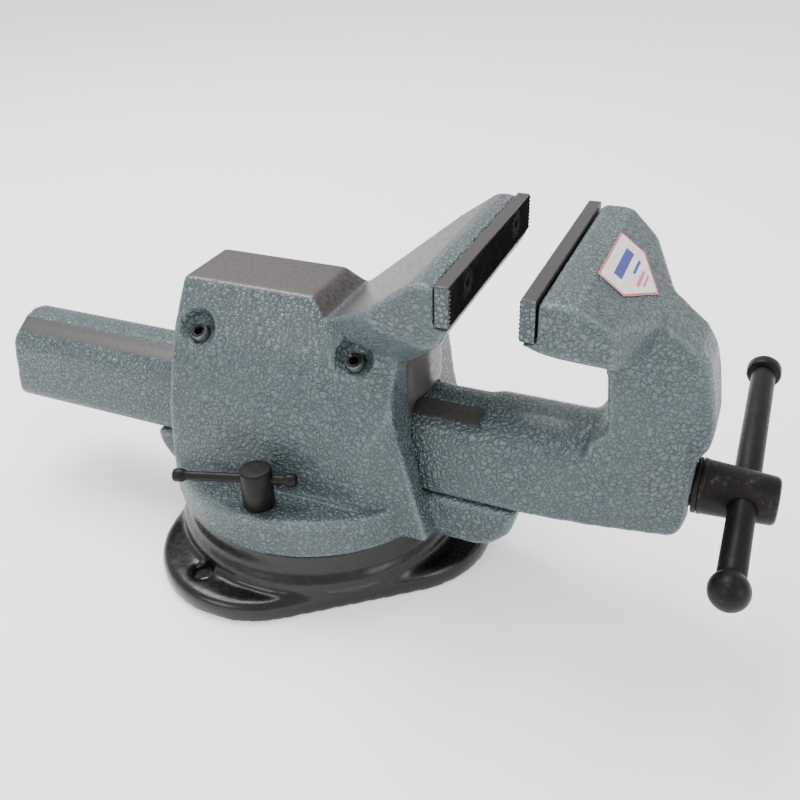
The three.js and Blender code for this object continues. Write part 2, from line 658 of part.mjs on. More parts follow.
function mainScrew() {
  const end = SCREW_HEAD_X + SCREW_HEAD_LENGTH;
  const lip = 1.5;
  const head = united([
    pin([SCREW_HEAD_X, 0, 0], [end - lip, 0, 0], SCREW_HEAD_R, SCREW_HEAD_END_R),
    pin([end - lip - 0.01, 0, 0], [end, 0, 0], SCREW_HEAD_END_R, SCREW_HEAD_END_R - lip),
  ]);
  const shaft = united([
    pin([SCREW_REAR_X + 2, 0, 0], [SCREW_HEAD_X + 1, 0, 0], SCREW_R),
    pin([SCREW_REAR_X, 0, 0], [SCREW_REAR_X + 2.01, 0, 0], SCREW_R - 2, SCREW_R),
  ]);
  const [, dy, dz] = handleDirection(40);
  const x = HANDLE_HOLE_X;
  const handleHole = pin([x, -dy, -dz], [x, dy, dz], HANDLE_R + RUN_FIT);
  const pinHole = pin([COLLAR_PIN_X, 0, -40], [COLLAR_PIN_X, 0, 40], COLLAR_PIN_R + TOUCH, undefined, 12);
  return head.add(shaft).subtract(handleHole).subtract(pinHole);
}

function tube(x0, x1, inner, outer) {
  return pin([x0, 0, 0], [x1, 0, 0], outer).subtract(pin([x0 - 1, 0, 0], [x1 + 1, 0, 0], inner));
}

function thrustWasher() {
  return tube(WASHER_X, WASHER_X + SCREW_WASHER_THICK, SCREW_R + RUN_FIT, SCREW_HEAD_R);
}

function thrustCollar() {
  const collar = tube(COLLAR_FRONT_X - COLLAR_WIDTH, COLLAR_FRONT_X, SCREW_R + RUN_FIT, COLLAR_R);
  const hole = pin([COLLAR_PIN_X, 0, -40], [COLLAR_PIN_X, 0, 40], COLLAR_PIN_R + TOUCH, undefined, 12);
  return collar.subtract(hole);
}

function collarPin() {
  const reach = COLLAR_R - 0.6;
  return pin([COLLAR_PIN_X, 0, -reach], [COLLAR_PIN_X, 0, reach], COLLAR_PIN_R, undefined, 12);
}

function nutBoltPlaces() {
  return [NUT_REAR_X + 10, NUT_REAR_X + 28];
}

function screwNut() {
  const inset = 2 * SLIDE_FIT;
  const section = grown(mirrored(channelHalf(FLOOR_Z + TOUCH - inset)), -inset);
  let nut = alongX(section, NUT_REAR_X, NUT_REAR_X + NUT_LENGTH);
  const nutFront = NUT_REAR_X + NUT_LENGTH + 1;
  nut = nut.subtract(pin([NUT_REAR_X - 1, 0, SCREW_Z], [nutFront, 0, SCREW_Z], SCREW_R + RUN_FIT));
  for (const x of nutBoltPlaces()) {
    nut = nut.subtract(pin([x, 0, 0], [x, 0, FLOOR_Z + NUT_BOLT_REACH + TOUCH], NUT_BOLT_R + TOUCH));
  }
  return nut;
}

// Made about x = y = 0.
function nutBolt() {
  const headTop = BODY_BOTTOM + NUT_BOLT_HEAD_HEIGHT + 1 - TOUCH;
  const head = pin([0, 0, headTop - NUT_BOLT_HEAD_HEIGHT], [0, 0, headTop], NUT_BOLT_HEAD_R);
  const shank = pin([0, 0, headTop - 1], [0, 0, FLOOR_Z + NUT_BOLT_REACH], NUT_BOLT_R);
  const socketTop = headTop - NUT_BOLT_HEAD_HEIGHT + 5;
  return head.add(shank).subtract(pin([0, 0, 0], [0, 0, socketTop], 3.4, undefined, 6));
}

// ---------------------------------------------------------------- handle
// The handle group's origin is on the screw axis, with the bar along its y axis.
function handleBar() {
  const near = BALL_CENTRE + BALL_R - 2;
  return united([
    pin([0, near + TOUCH, 0], [0, CAP_FACE - TOUCH, 0], HANDLE_R),
    pin([0, near - SPIGOT_LENGTH, 0], [0, near + 1, 0], SPIGOT_R, undefined, 16),
    pin([0, CAP_FACE - 1, 0], [0, CAP_FACE + SPIGOT_LENGTH, 0], SPIGOT_R, undefined, 16),
  ]);
}

function handleBall() {
  const near = BALL_CENTRE + BALL_R - 2;
  const profile = [[0, -BALL_R]];
  const steps = 10;
  for (let i = 1; i < steps; i += 1) {
    const angle = -Math.PI / 2 + (i / steps) * Math.PI;
    profile.push([BALL_R * Math.cos(angle), BALL_R * Math.sin(angle)]);
  }
  profile.push([0, BALL_R]);
  return turned(profile, 24, [0, BALL_CENTRE, 0])
    .subtract(block(-20, 20, near, near + 20, -20, 20))
    .subtract(pin([0, near - SPIGOT_LENGTH - TOUCH, 0], [0, near + 1, 0], SPIGOT_R + TOUCH, undefined, 16));
}

function handleCap() {
  const end = CAP_FACE + CAP_LENGTH;
  const socketEnd = CAP_FACE + SPIGOT_LENGTH + TOUCH;
  const socket = pin([0, CAP_FACE - 1, 0], [0, socketEnd, 0], SPIGOT_R + TOUCH, undefined, 16);
  return united([
    pin([0, CAP_FACE, 0], [0, CAP_FACE + 1.5, 0], CAP_R - 1, CAP_R),
    pin([0, CAP_FACE + 1.49, 0], [0, end - 2.5, 0], CAP_R),
    pin([0, end - 2.51, 0], [0, end, 0], CAP_R, CAP_R - 2.5),
  ]).subtract(socket);
}

// ---------------------------------------------------------------- lock screws
// The lock group's origin is on the ledge, with the T-bar along its x axis.
function lockScrew() {
  const foot = SLOT_FLOOR + 1.5 - LEDGE_Z;
  const head = united([
    pin([0, 0, TOUCH], [0, 0, LOCK_HEAD_HEIGHT - 1], LOCK_HEAD_R),
    pin([0, 0, LOCK_HEAD_HEIGHT - 1.01], [0, 0, LOCK_HEAD_HEIGHT], LOCK_HEAD_R, LOCK_HEAD_R - 1),
  ]);
  const shank = pin([0, 0, foot], [0, 0, TOUCH + 1], LOCK_SHANK_R);
  const hole = pin([-20, 0, LOCK_BAR_HEIGHT], [20, 0, LOCK_BAR_HEIGHT], LOCK_BAR_R + RUN_FIT, undefined, 16);
  return head.add(shank).subtract(hole);
}

function lockBar() {
  const spigot = LOCK_KNOB_LENGTH / 2;
  const [near, far] = [-LOCK_BAR_LONG + LOCK_KNOB_LENGTH, LOCK_BAR_SHORT - LOCK_KNOB_LENGTH];
  const z = LOCK_BAR_HEIGHT;
  return united([
    pin([near + TOUCH, 0, z], [far - TOUCH, 0, z], LOCK_BAR_R, undefined, 16),
    pin([near - spigot, 0, z], [far + spigot, 0, z], LOCK_BAR_R - 1, undefined, 12),
  ]);
}

// A small knob on one end of the T-bar, its open face at x, towards the side given by sign.
function lockKnob(x, sign) {
  const z = LOCK_BAR_HEIGHT;
  const [waist, end] = [x + sign * 2, x + sign * LOCK_KNOB_LENGTH];
  const depth = LOCK_KNOB_LENGTH / 2 + TOUCH;
  return united([
    pin([x, 0, z], [waist, 0, z], LOCK_BAR_R + 0.2, LOCK_KNOB_R, 12),
    pin([waist, 0, z], [end - sign * 1.2, 0, z], LOCK_KNOB_R, undefined, 12),
    pin([end - sign * 1.2, 0, z], [end, 0, z], LOCK_KNOB_R, LOCK_KNOB_R - 1.2, 12),
  ]).subtract(pin([x - sign, 0, z], [x + sign * depth, 0, z], LOCK_BAR_R - 1 + TOUCH, undefined, 12));
}

// T-nut in the base's round slot, curved to it. side is -1 at the near screw and 1 at the far one.
function tNut(side) {
  const play = 0.6;
  const top = SLOT_HEAD_TOP - TOUCH;
  const wide = SLOT_HEAD / 2 - play;
  const foot = ring(LOCK_RADIUS - wide, LOCK_RADIUS + wide, SLOT_FLOOR + TOUCH, top);
  const half = T_NUT_LENGTH / 2;
  const y = side * LOCK_RADIUS;
  const reach = block(-half, half, y - 20, y + 20, 0, 60);
  return foot.intersect(reach).subtract(pin([0, y, 0], [0, y, 60], LOCK_SHANK_R + RUN_FIT));
}

// ---------------------------------------------------------------- guide gibs
function gib(side) {
  return stripBar(side, GIB_LENGTH, GIB_WIDTH, TOUCH, TOUCH + GIB_THICK);
}

function gibScrew(x, side) {
  const start = GIB_THICK + 2 * TOUCH;
  const body = pin(offStrip(x, side, start), offStrip(x, side, GIB_SCREW_END), GIB_SCREW_R, undefined, 24);
  const socket = pin(
    offStrip(x, side, GIB_SCREW_END - GIB_SOCKET_DEPTH), offStrip(x, side, GIB_SCREW_END + 1),
    GIB_SOCKET_R, undefined, 6,
  );
  return body.subtract(socket);
}

// ---------------------------------------------------------------- label
// Five-sided label lying flat, its straight edge at x = 0, for the slope behind the sliding jaw.
function label() {
  return alongZ([
    [0, -LABEL_HALF_WIDTH], [LABEL_SIDE, -LABEL_HALF_WIDTH], [LABEL_TIP, 0],
    [LABEL_SIDE, LABEL_HALF_WIDTH], [0, LABEL_HALF_WIDTH],
  ], TOUCH, TOUCH + LABEL_THICK);
}

// ---------------------------------------------------------------- materials and assembly
const PAINT = { color: 0x5f7378, roughness: 0.35, metalness: 0.15 };
const GROUND_STEEL = { color: 0x6d6a68, roughness: 0.4, metalness: 0.9 };
const BLACK_STEEL = { color: 0x1b1a1a, roughness: 0.45, metalness: 0.5 };
const BLACK_PAINT = { color: 0x101011, roughness: 0.25, metalness: 0.1 };
const BRIGHT_STEEL = { color: 0x9a9896, roughness: 0.35, metalness: 1.0 };
const BRONZE = { color: 0x9a6f3c, roughness: 0.4, metalness: 0.9 };
const PAPER = { color: 0xd8d5cf, roughness: 0.6, metalness: 0.0 };

function piece(name, body, finish) {
  const mesh = new THREE.Mesh(geometryOf(body), new THREE.MeshStandardMaterial(finish));
  mesh.name = name;
  return mesh;
}

const vise = new THREE.Group();

const baseGroup = new THREE.Group();
baseGroup.add(piece('swivel_base', swivelBase(), BLACK_PAINT));
vise.add(baseGroup);

const bodyGroup = new THREE.Group();
bodyGroup.add(piece('body_casting', bodyCasting(), PAINT));
bodyGroup.add(piece('pivot_bolt', pivotBolt(), BLACK_STEEL));
bodyGroup.add(piece('pivot_washer', pivotWasher(), BRIGHT_STEEL));
bodyGroup.add(piece('screw_nut', screwNut(), BRONZE));
nutBoltPlaces().forEach((x, i) => {
  const bolt = piece(['nut_bolt_rear', 'nut_bolt_front'][i], nutBolt(), BLACK_STEEL);
  bolt.position.x = x;
  bodyGroup.add(bolt);
});
const fixedPlate = piece('fixed_jaw_plate', jawPlate(), GROUND_STEEL);
fixedPlate.position.x = FACE_X;
bodyGroup.add(fixedPlate);
vise.add(bodyGroup);

const jawGroup = new THREE.Group();
jawGroup.add(piece('sliding_jaw', slidingJaw(), PAINT));
const movingPlate = piece('sliding_jaw_plate', jawPlate(), GROUND_STEEL);
movingPlate.position.x = MOVING_FACE_X;
movingPlate.rotation.z = Math.PI;
jawGroup.add(movingPlate);
const jawLabel = piece('jaw_label', label(), PAPER);
jawLabel.position.set(MOVING_RIDGE_X + 0.8, 0, JAW_TOP - TOUCH - 0.8 * JAW_BACK_SLOPE);
jawLabel.rotation.y = Math.atan(JAW_BACK_SLOPE);
jawGroup.add(jawLabel);
vise.add(jawGroup);

const SIDES = [['near', -1], ['far', 1]];
for (const [word, side] of SIDES) {
  const y = (side * PLATE_SCREW_SPACING) / 2;
  const fixedScrew = piece(`fixed_plate_screw_${word}`, plateScrew(), BLACK_STEEL);
  fixedScrew.position.set(FACE_X, y, PLATE_SCREW_Z);
  bodyGroup.add(fixedScrew);
  const movingScrew = piece(`sliding_plate_screw_${word}`, plateScrew(), BLACK_STEEL);
  movingScrew.position.set(MOVING_FACE_X, y, PLATE_SCREW_Z);
  movingScrew.rotation.z = Math.PI;
  jawGroup.add(movingScrew);

  bodyGroup.add(piece(`guide_gib_${word}`, gib(side), BRIGHT_STEEL));
  GIB_SCREW_PLACES.forEach((x, i) => {
    bodyGroup.add(piece(`gib_screw_${word}_${['rear', 'front'][i]}`, gibScrew(x, side), BLACK_STEEL));
  });
  bodyGroup.add(piece(`t_nut_${word}`, tNut(side), BLACK_STEEL));

  const lockGroup = new THREE.Group();
  lockGroup.position.set(0, side * LOCK_RADIUS, LEDGE_Z);
  lockGroup.rotation.z = rad(-side * LOCK_BAR_ANGLE);
  lockGroup.add(piece(`lock_screw_${word}`, lockScrew(), BLACK_STEEL));
  lockGroup.add(piece(`lock_bar_${word}`, lockBar(), BLACK_STEEL));
  const longKnob = lockKnob(-LOCK_BAR_LONG + LOCK_KNOB_LENGTH, -1);
  const shortKnob = lockKnob(LOCK_BAR_SHORT - LOCK_KNOB_LENGTH, 1);
  lockGroup.add(piece(`lock_bar_knob_${word}_a`, longKnob, BLACK_STEEL));
  lockGroup.add(piece(`lock_bar_knob_${word}_b`, shortKnob, BLACK_STEEL));
  vise.add(lockGroup);
}

const screwGroup = new THREE.Group();
screwGroup.position.z = SCREW_Z;
screwGroup.add(piece('main_screw', mainScrew(), BLACK_STEEL));
screwGroup.add(piece('thrust_washer', thrustWasher(), BLACK_STEEL));
screwGroup.add(piece('thrust_collar', thrustCollar(), BLACK_STEEL));
screwGroup.add(piece('collar_pin', collarPin(), BRIGHT_STEEL));
const handleGroup = new THREE.Group();
handleGroup.position.x = HANDLE_HOLE_X;
handleGroup.rotation.x = rad(HANDLE_TILT);
handleGroup.add(piece('handle_bar', handleBar(), BLACK_STEEL));
handleGroup.add(piece('handle_ball', handleBall(), BLACK_STEEL));
handleGroup.add(piece('handle_cap', handleCap(), BLACK_STEEL));
screwGroup.add(handleGroup);
vise.add(screwGroup);

export default vise;
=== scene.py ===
"""Looks of a bench vise with a swivel base: hammered castings, serrated jaw plates, black screws."""

import json
import math

import bmesh
import bpy
import numpy as np
from mathutils import Matrix, Vector


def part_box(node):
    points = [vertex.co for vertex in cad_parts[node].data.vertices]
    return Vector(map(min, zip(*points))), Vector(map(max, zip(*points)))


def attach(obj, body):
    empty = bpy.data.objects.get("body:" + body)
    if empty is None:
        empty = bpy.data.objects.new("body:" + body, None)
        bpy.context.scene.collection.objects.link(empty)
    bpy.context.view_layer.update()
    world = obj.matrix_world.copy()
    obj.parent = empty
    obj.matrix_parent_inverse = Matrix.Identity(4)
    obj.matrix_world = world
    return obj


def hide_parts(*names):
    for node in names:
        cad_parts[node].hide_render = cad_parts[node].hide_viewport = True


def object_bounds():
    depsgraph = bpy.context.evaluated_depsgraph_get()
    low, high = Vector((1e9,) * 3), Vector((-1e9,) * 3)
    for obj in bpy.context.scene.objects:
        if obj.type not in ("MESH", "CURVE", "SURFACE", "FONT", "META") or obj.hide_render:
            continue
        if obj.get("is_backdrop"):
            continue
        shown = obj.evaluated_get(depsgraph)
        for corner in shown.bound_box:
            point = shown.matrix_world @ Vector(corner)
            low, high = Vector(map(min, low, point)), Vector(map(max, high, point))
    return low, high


bl_info = {
    "name": "Bench Vise",
    "version": (1, 0, 0),
    "blender": (4, 5, 0),
    "location": "3D View > Sidebar > Vise",
    "description": "Builds the finished surface of a bench vise around its frame",
    "category": "Object",
}

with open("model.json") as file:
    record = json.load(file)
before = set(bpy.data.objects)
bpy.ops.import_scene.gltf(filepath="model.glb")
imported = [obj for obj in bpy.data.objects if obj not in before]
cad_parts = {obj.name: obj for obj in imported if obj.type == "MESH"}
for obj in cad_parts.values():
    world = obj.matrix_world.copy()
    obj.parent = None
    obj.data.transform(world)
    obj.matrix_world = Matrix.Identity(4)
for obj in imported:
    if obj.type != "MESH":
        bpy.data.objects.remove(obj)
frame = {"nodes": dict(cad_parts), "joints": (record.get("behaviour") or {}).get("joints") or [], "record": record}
CAD_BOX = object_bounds()

MM = 0.001
UP = Vector((0, 0, 1))
ALONG_BEAM = Vector((1, 0, 0))
ACROSS = Vector((0, 1, 0))


# ---------------------------------------------------------------- sizes and colours to change
class ViseSizes(bpy.types.PropertyGroup):
    """Sizes of the finish, all in metres."""

    voxel: bpy.props.FloatProperty(
        name="Casting grain", description="Cell size of the casting's surface mesh",
        default=1.6 * MM, min=1.0 * MM, max=4.0 * MM, unit="LENGTH", precision=5,
    )
    edge_passes: bpy.props.IntProperty(
        name="Edge rounding", description="How often the casting's edges are rubbed round",
        default=7, min=0, max=40,
    )
    tooth_pitch: bpy.props.FloatProperty(
        name="Tooth pitch", description="Distance between the teeth of the jaw plates",
        default=2.0 * MM, min=1.0 * MM, max=4.0 * MM, unit="LENGTH", precision=5,
    )
    tooth_height: bpy.props.FloatProperty(
        name="Tooth height", description="Height of the teeth of the jaw plates",
        default=0.7 * MM, min=0.2 * MM, max=1.5 * MM, unit="LENGTH", precision=5,
    )
    thread_depth: bpy.props.FloatProperty(
        name="Thread depth", description="Depth of the main screw's thread",
        default=2.4 * MM, min=0.5 * MM, max=3.0 * MM, unit="LENGTH", precision=5,
    )
    thread_lead: bpy.props.FloatProperty(
        name="Thread lead", description="Travel of the jaw for one turn of the main screw",
        default=6.0 * MM, min=2.0 * MM, max=8.0 * MM, unit="LENGTH", precision=5,
    )
    hammer_cell: bpy.props.FloatProperty(
        name="Hammer cell", description="Width of one cell of the hammered paint",
        default=2.9 * MM, min=1.0 * MM, max=8.0 * MM, unit="LENGTH", precision=5,
    )


def colour(name, description, default):
    return bpy.props.FloatVectorProperty(
        name=name, description=description, subtype="COLOR", size=3, min=0, max=1, default=default,
    )


class ViseColours(bpy.types.PropertyGroup):
    """Colours of the finish."""

    paint: colour("Paint", "Light tone of the hammered paint", (0.112, 0.148, 0.158))
    paint_dark: colour("Paint, crackle", "Dark tone between the cells", (0.022, 0.035, 0.04))
    enamel: colour("Base enamel", "Gloss enamel of the swivel base", (0.0035, 0.0035, 0.0037))
    steel: colour("Ground steel", "Machined faces", (0.135, 0.13, 0.131))
    plate: colour("Plate steel", "Jaw plates", (0.05, 0.047, 0.046))
    # Darker steel: real wear on the anvil's top; on the anvil's facet and the front of the beam it is painted
    # reflection of the dark surroundings
    anvil: colour("Worn steel", "Top of the anvil and front of the beam", (0.115, 0.107, 0.102))
    black: colour("Black oxide", "Screws, handle and lock bars", (0.0055, 0.005, 0.0048))
    bronze: colour("Nut bronze", "Screw nut", (0.35, 0.2, 0.08))
    film: colour("Label film", "Ground of the label", (0.72, 0.7, 0.67))


def sizes():
    return bpy.context.scene.vise_sizes


def colours():
    return bpy.context.scene.vise_colours


# ---------------------------------------------------------------- material helpers
class Recipe:
    """One node material, built up from its Principled shader."""

    def __init__(self, name):
        self.material = bpy.data.materials.new(name)
        self.material.use_nodes = True
        self.nodes = self.material.node_tree.nodes
        self.links = self.material.node_tree.links
        self.shader = self.nodes["Principled BSDF"]
        self.place = self.nodes.new("ShaderNodeTexCoord").outputs["Object"]

    def add(self, kind, settings=None, **inputs):
        node = self.nodes.new(kind)
        for key, value in (settings or {}).items():
            setattr(node, key, value)
        for key, value in inputs.items():
            self.feed(node.inputs[key.replace("_", " ")], value)
        return node

    def feed(self, socket, value):
        if isinstance(value, bpy.types.NodeSocket):
            self.links.new(value, socket)
        else:
            socket.default_value = value

    def noise(self, size, detail=3.0, roughness=0.5, place=None):
        return self.add(
            "ShaderNodeTexNoise", Vector=place or self.place, Scale=1 / size,
            Detail=detail, Roughness=roughness,
        )

    def ramp(self, value, low, high, start=0.0, end=1.0, smooth=True):
        node = self.add("ShaderNodeMapRange", {"interpolation_type": "SMOOTHSTEP" if smooth else "LINEAR"})
        for socket, number in zip(node.inputs, (value, low, high, start, end)):
            self.feed(socket, number)
        return node.outputs["Result"]

    def maths(self, kind, a, b=0.0):
        node = self.add("ShaderNodeMath", {"operation": kind})
        self.feed(node.inputs[0], a)
        self.feed(node.inputs[1], b)
        return node.outputs[0]

    def blend(self, share, a, b):
        node = self.add("ShaderNodeMix", {"data_type": "RGBA"})
        self.feed(node.inputs[0], share)
        self.feed(node.inputs[6], as_colour(a))
        self.feed(node.inputs[7], as_colour(b))
        return node.outputs[2]

    def between(self, share, a, b):
        node = self.add("ShaderNodeMix", {"data_type": "FLOAT"})
        self.feed(node.inputs[0], share)
        self.feed(node.inputs[2], a)
        self.feed(node.inputs[3], b)
        return node.outputs[0]

    def attribute(self, name):
        return self.add("ShaderNodeAttribute", {"attribute_name": name}).outputs["Fac"]

    def bump(self, height, distance, strength=1.0):
        node = self.add("ShaderNodeBump", Strength=strength, Distance=distance, Height=height)
        return node.outputs["Normal"]

    def finish(self, **inputs):
        for key, value in inputs.items():
            self.feed(self.shader.inputs[key.replace("_", " ")], as_colour(value))
        return self.material


def as_colour(value):
    if isinstance(value, (bpy.types.NodeSocket, float, int)):
        return value
    return (*value, 1.0)


def hammered_paint():
    """Hammered enamel on cast iron, with machined faces where the attribute bare is above 0."""
    tone = colours()
    mat = Recipe("hammered_paint")
    sway = mat.noise(7 * MM, 3.0, 0.6)
    offset = mat.add("ShaderNodeVectorMath", {"operation": "MULTIPLY_ADD"})
    mat.feed(offset.inputs[0], sway.outputs["Color"])
    offset.inputs[1].default_value = (0.007, 0.007, 0.007)
    mat.feed(offset.inputs[2], mat.place)
    swayed = offset.outputs[0]

    cell = sizes().hammer_cell
    edge = mat.add("ShaderNodeTexVoronoi", {"feature": "DISTANCE_TO_EDGE"}, Vector=swayed, Scale=1 / cell)
    fine = mat.add("ShaderNodeTexVoronoi", {"feature": "DISTANCE_TO_EDGE"}, Vector=swayed, Scale=2.1 / cell)
    tint = mat.add("ShaderNodeTexVoronoi", {"feature": "F1"}, Vector=swayed, Scale=1 / cell)
    broad = mat.noise(24 * MM, 3.0)
    speck = mat.noise(1.2 * MM, 4.0, 0.65)

    line = mat.ramp(edge.outputs["Distance"], 0.0, 0.15)
    fine_line = mat.ramp(fine.outputs["Distance"], 0.0, 0.14, 0.72, 1.0)
    clear = mat.maths("MULTIPLY", line, fine_line)
    patchy = mat.ramp(broad.outputs["Fac"], 0.36, 0.64, 0.35, 1.0)
    grain = mat.ramp(speck.outputs["Fac"], 0.36, 0.64, 0.6, 1.1)
    own = mat.ramp(tint.outputs["Color"], 0.0, 1.0, 0.72, 1.1, smooth=False)
    crackled = mat.maths("MULTIPLY", mat.maths("MULTIPLY", clear, own), grain)
    calm = mat.maths("MULTIPLY", mat.maths("ADD", crackled, 0.4), 0.5)
    # Lighter paint tone along the convex edges
    lighter_edges = mat.ramp(mat.attribute("edge"), 0.05, 0.6, 0.0, 0.55)
    share = mat.maths("ADD", mat.between(patchy, calm, crackled), lighter_edges)
    paint = mat.blend(share, tone.paint_dark, tone.paint)

    rough_steel = mat.noise(2.5 * MM, 5.0, 0.65)
    marks = mat.ramp(rough_steel.outputs["Fac"], 0.3, 0.7)
    bright = mat.blend(marks, tone.steel, [0.7 * c for c in tone.steel])
    # Darker steel tone: real wear on the anvil's top, painted reflection of the dark surroundings on the anvil's
    # facet and on the front of the beam
    worn_steel_and_dark_reflection = mat.blend(marks, tone.anvil, [0.6 * c for c in tone.anvil])
    steel = mat.blend(mat.attribute("wear_and_dark_reflection"), bright, worn_steel_and_dark_reflection)
    ragged = mat.maths("MULTIPLY", mat.maths("SUBTRACT", mat.noise(1.6 * MM).outputs["Fac"], 0.5), 0.9)
    bare = mat.ramp(mat.maths("ADD", mat.attribute("bare"), ragged), -0.12, 0.12)

    pits = mat.maths("MULTIPLY", speck.outputs["Fac"], 0.3)
    height = mat.maths("ADD", mat.ramp(edge.outputs["Distance"], 0.0, 0.4), pits)
    dented = mat.bump(height, mat.between(bare, 0.75 * MM, 0.0), 0.9)
    gloss = mat.between(clear, 0.55, 0.33)
    roughness = mat.between(bare, gloss, mat.ramp(rough_steel.outputs["Fac"], 0.3, 0.7, 0.34, 0.5))
    return mat.finish(
        Base_Color=mat.blend(bare, paint, steel), Roughness=roughness, Normal=dented,
        Metallic=mat.between(bare, 0.3, 0.8), Coat_Weight=mat.between(bare, 0.22, 0.0),
        Coat_Roughness=0.25,
    )


def gloss_enamel():
    """Thick black gloss enamel with slight sag of the casting under it."""
    tone = colours()
    mat = Recipe("gloss_enamel")
    sag = mat.noise(14 * MM, 3.0)
    dust = mat.noise(4 * MM, 6.0, 0.7)
    base = mat.blend(mat.ramp(dust.outputs["Fac"], 0.55, 0.8), tone.enamel, [2.0 * c for c in tone.enamel])
    return mat.finish(
        Base_Color=base, Roughness=mat.ramp(dust.outputs["Fac"], 0.3, 0.8, 0.22, 0.4),
        Normal=mat.bump(sag.outputs["Fac"], 1.2 * MM, 0.35), Coat_Weight=0.2, Coat_Roughness=0.14,
        Specular_IOR_Level=0.3,
    )


def black_oxide(name="black_oxide", scuff=0.25):
    """Blackened steel, brown where it is handled and bright where it is scuffed."""
    tone = colours()
    mat = Recipe(name)
    stain = mat.noise(11 * MM, 4.0, 0.6)
    scratch = mat.noise(3 * MM, 6.0, 0.72)
    brown = mat.blend(mat.ramp(stain.outputs["Fac"], 0.4, 0.72), tone.black, (0.0115, 0.009, 0.0075))
    rubbed = mat.ramp(scratch.outputs["Fac"], 0.84 - scuff, 0.9 - scuff * 0.6, 0.0, 0.4)
    rubbed = mat.maths("MULTIPLY", rubbed, mat.ramp(stain.outputs["Fac"], 0.42, 0.62))
    base = mat.blend(rubbed, brown, (0.12, 0.1, 0.08))
    return mat.finish(
        Base_Color=base, Metallic=0.2, Specular_IOR_Level=0.22,
        Roughness=mat.ramp(scratch.outputs["Fac"], 0.3, 0.7, 0.36, 0.52),
        Normal=mat.bump(scratch.outputs["Fac"], 0.15 * MM, 0.5),
    )


def plate_steel():
    """Ground plate steel with brushed tool marks."""
    tone = colours()
    mat = Recipe("plate_steel")
    stretched = mat.add("ShaderNodeMapping", Vector=mat.place)
    stretched.inputs["Scale"].default_value = (1.0, 0.06, 1.0)
    brushed = mat.noise(0.5 * MM, 4.0, 0.6, stretched.outputs[0])
    top = mat.blend(mat.ramp(brushed.outputs["Fac"], 0.3, 0.7), tone.plate, [1.4 * c for c in tone.plate])
    return mat.finish(
        Base_Color=top, Metallic=0.7, Roughness=mat.ramp(brushed.outputs["Fac"], 0.3, 0.7, 0.34, 0.5),
        Normal=mat.bump(brushed.outputs["Fac"], 0.05 * MM, 0.4),
    )


def end_paint():
    """Casting paint that ran over the ends of a jaw plate, chipped to the steel."""
    tone = colours()
    mat = Recipe("end_paint")
    chips = mat.ramp(mat.noise(2.2 * MM, 3.0).outputs["Fac"], 0.36, 0.42)
    cell = 1 / (2.2 * MM)
    cells = mat.add("ShaderNodeTexVoronoi", {"feature": "DISTANCE_TO_EDGE"}, Vector=mat.place, Scale=cell)
    coat = mat.blend(mat.ramp(cells.outputs["Distance"], 0.0, 0.3), tone.paint_dark, tone.paint)
    return mat.finish(
        Base_Color=mat.blend(chips, tone.plate, coat), Metallic=0.3, Roughness=0.4,
        Normal=mat.bump(cells.outputs["Distance"], 0.5 * MM, 0.8),
    )


def grip_black():
    """Blackened gripping face of a jaw plate."""
    mat = Recipe("grip_black")
    stain = mat.noise(6 * MM, 4.0)
    base = mat.blend(mat.ramp(stain.outputs["Fac"], 0.4, 0.7), (0.004, 0.004, 0.004), (0.012, 0.011, 0.01))
    return mat.finish(
        Base_Color=base, Specular_IOR_Level=0.08,
        Roughness=mat.ramp(stain.outputs["Fac"], 0.3, 0.7, 0.82, 0.95),
    )


def set_screw_rim():
    """Rim of a set screw: paint over steel, rubbed bright round the socket."""
    tone = colours()
    mat = Recipe("set_screw_rim")
    wear = mat.noise(1.5 * MM, 4.0, 0.6)
    rubbed = mat.ramp(wear.outputs["Fac"], 0.5, 0.6)
    return mat.finish(
        Base_Color=mat.blend(rubbed, tone.paint, tone.steel), Metallic=mat.between(rubbed, 0.3, 0.8),
        Roughness=mat.ramp(wear.outputs["Fac"], 0.3, 0.7, 0.3, 0.45),
    )


def machined(name, tone):
    """Plain machined metal with fine tool marks."""
    mat = Recipe(name)
    marks = mat.noise(1.1 * MM, 5.0, 0.65)
    base = mat.blend(mat.ramp(marks.outputs["Fac"], 0.3, 0.75), tone, [0.6 * c for c in tone])
    return mat.finish(
        Base_Color=base, Metallic=0.9, Roughness=mat.ramp(marks.outputs["Fac"], 0.3, 0.7, 0.25, 0.42),
        Normal=mat.bump(marks.outputs["Fac"], 0.06 * MM, 0.4),
    )


def printed(name, tone):
    """Printed label film, slightly crinkled over the paint."""
    mat = Recipe(name)
    crinkle = mat.noise(4 * MM, 3.0)
    base = mat.blend(mat.ramp(crinkle.outputs["Fac"], 0.3, 0.7), tone, [0.86 * c for c in tone])
    return mat.finish(
        Base_Color=base, Roughness=0.38, Normal=mat.bump(crinkle.outputs["Fac"], 0.12 * MM, 0.4),
    )


MATERIALS = {}


def material(name, make, *values):
    """The material of that name, made the first time it is asked for."""
    if name not in MATERIALS:
        MATERIALS[name] = make(*values)
    return MATERIALS[name]


def paint():
    return material("hammered_paint", hammered_paint)


def enamel():
    return material("gloss_enamel", gloss_enamel)


def oxide():
    return material("black_oxide", black_oxide)


def scuffed_oxide():
    return material("scuffed_oxide", black_oxide, "scuffed_oxide", 0.34)


def plate_finish():
    return [
        material("plate_steel", plate_steel), material("grip_black", grip_black),
        material("end_paint", end_paint),
    ]


def steel():
    return material("ground_steel", machined, "ground_steel", tuple(colours().steel))


def bronze():
    return material("nut_bronze", machined, "nut_bronze", tuple(colours().bronze))


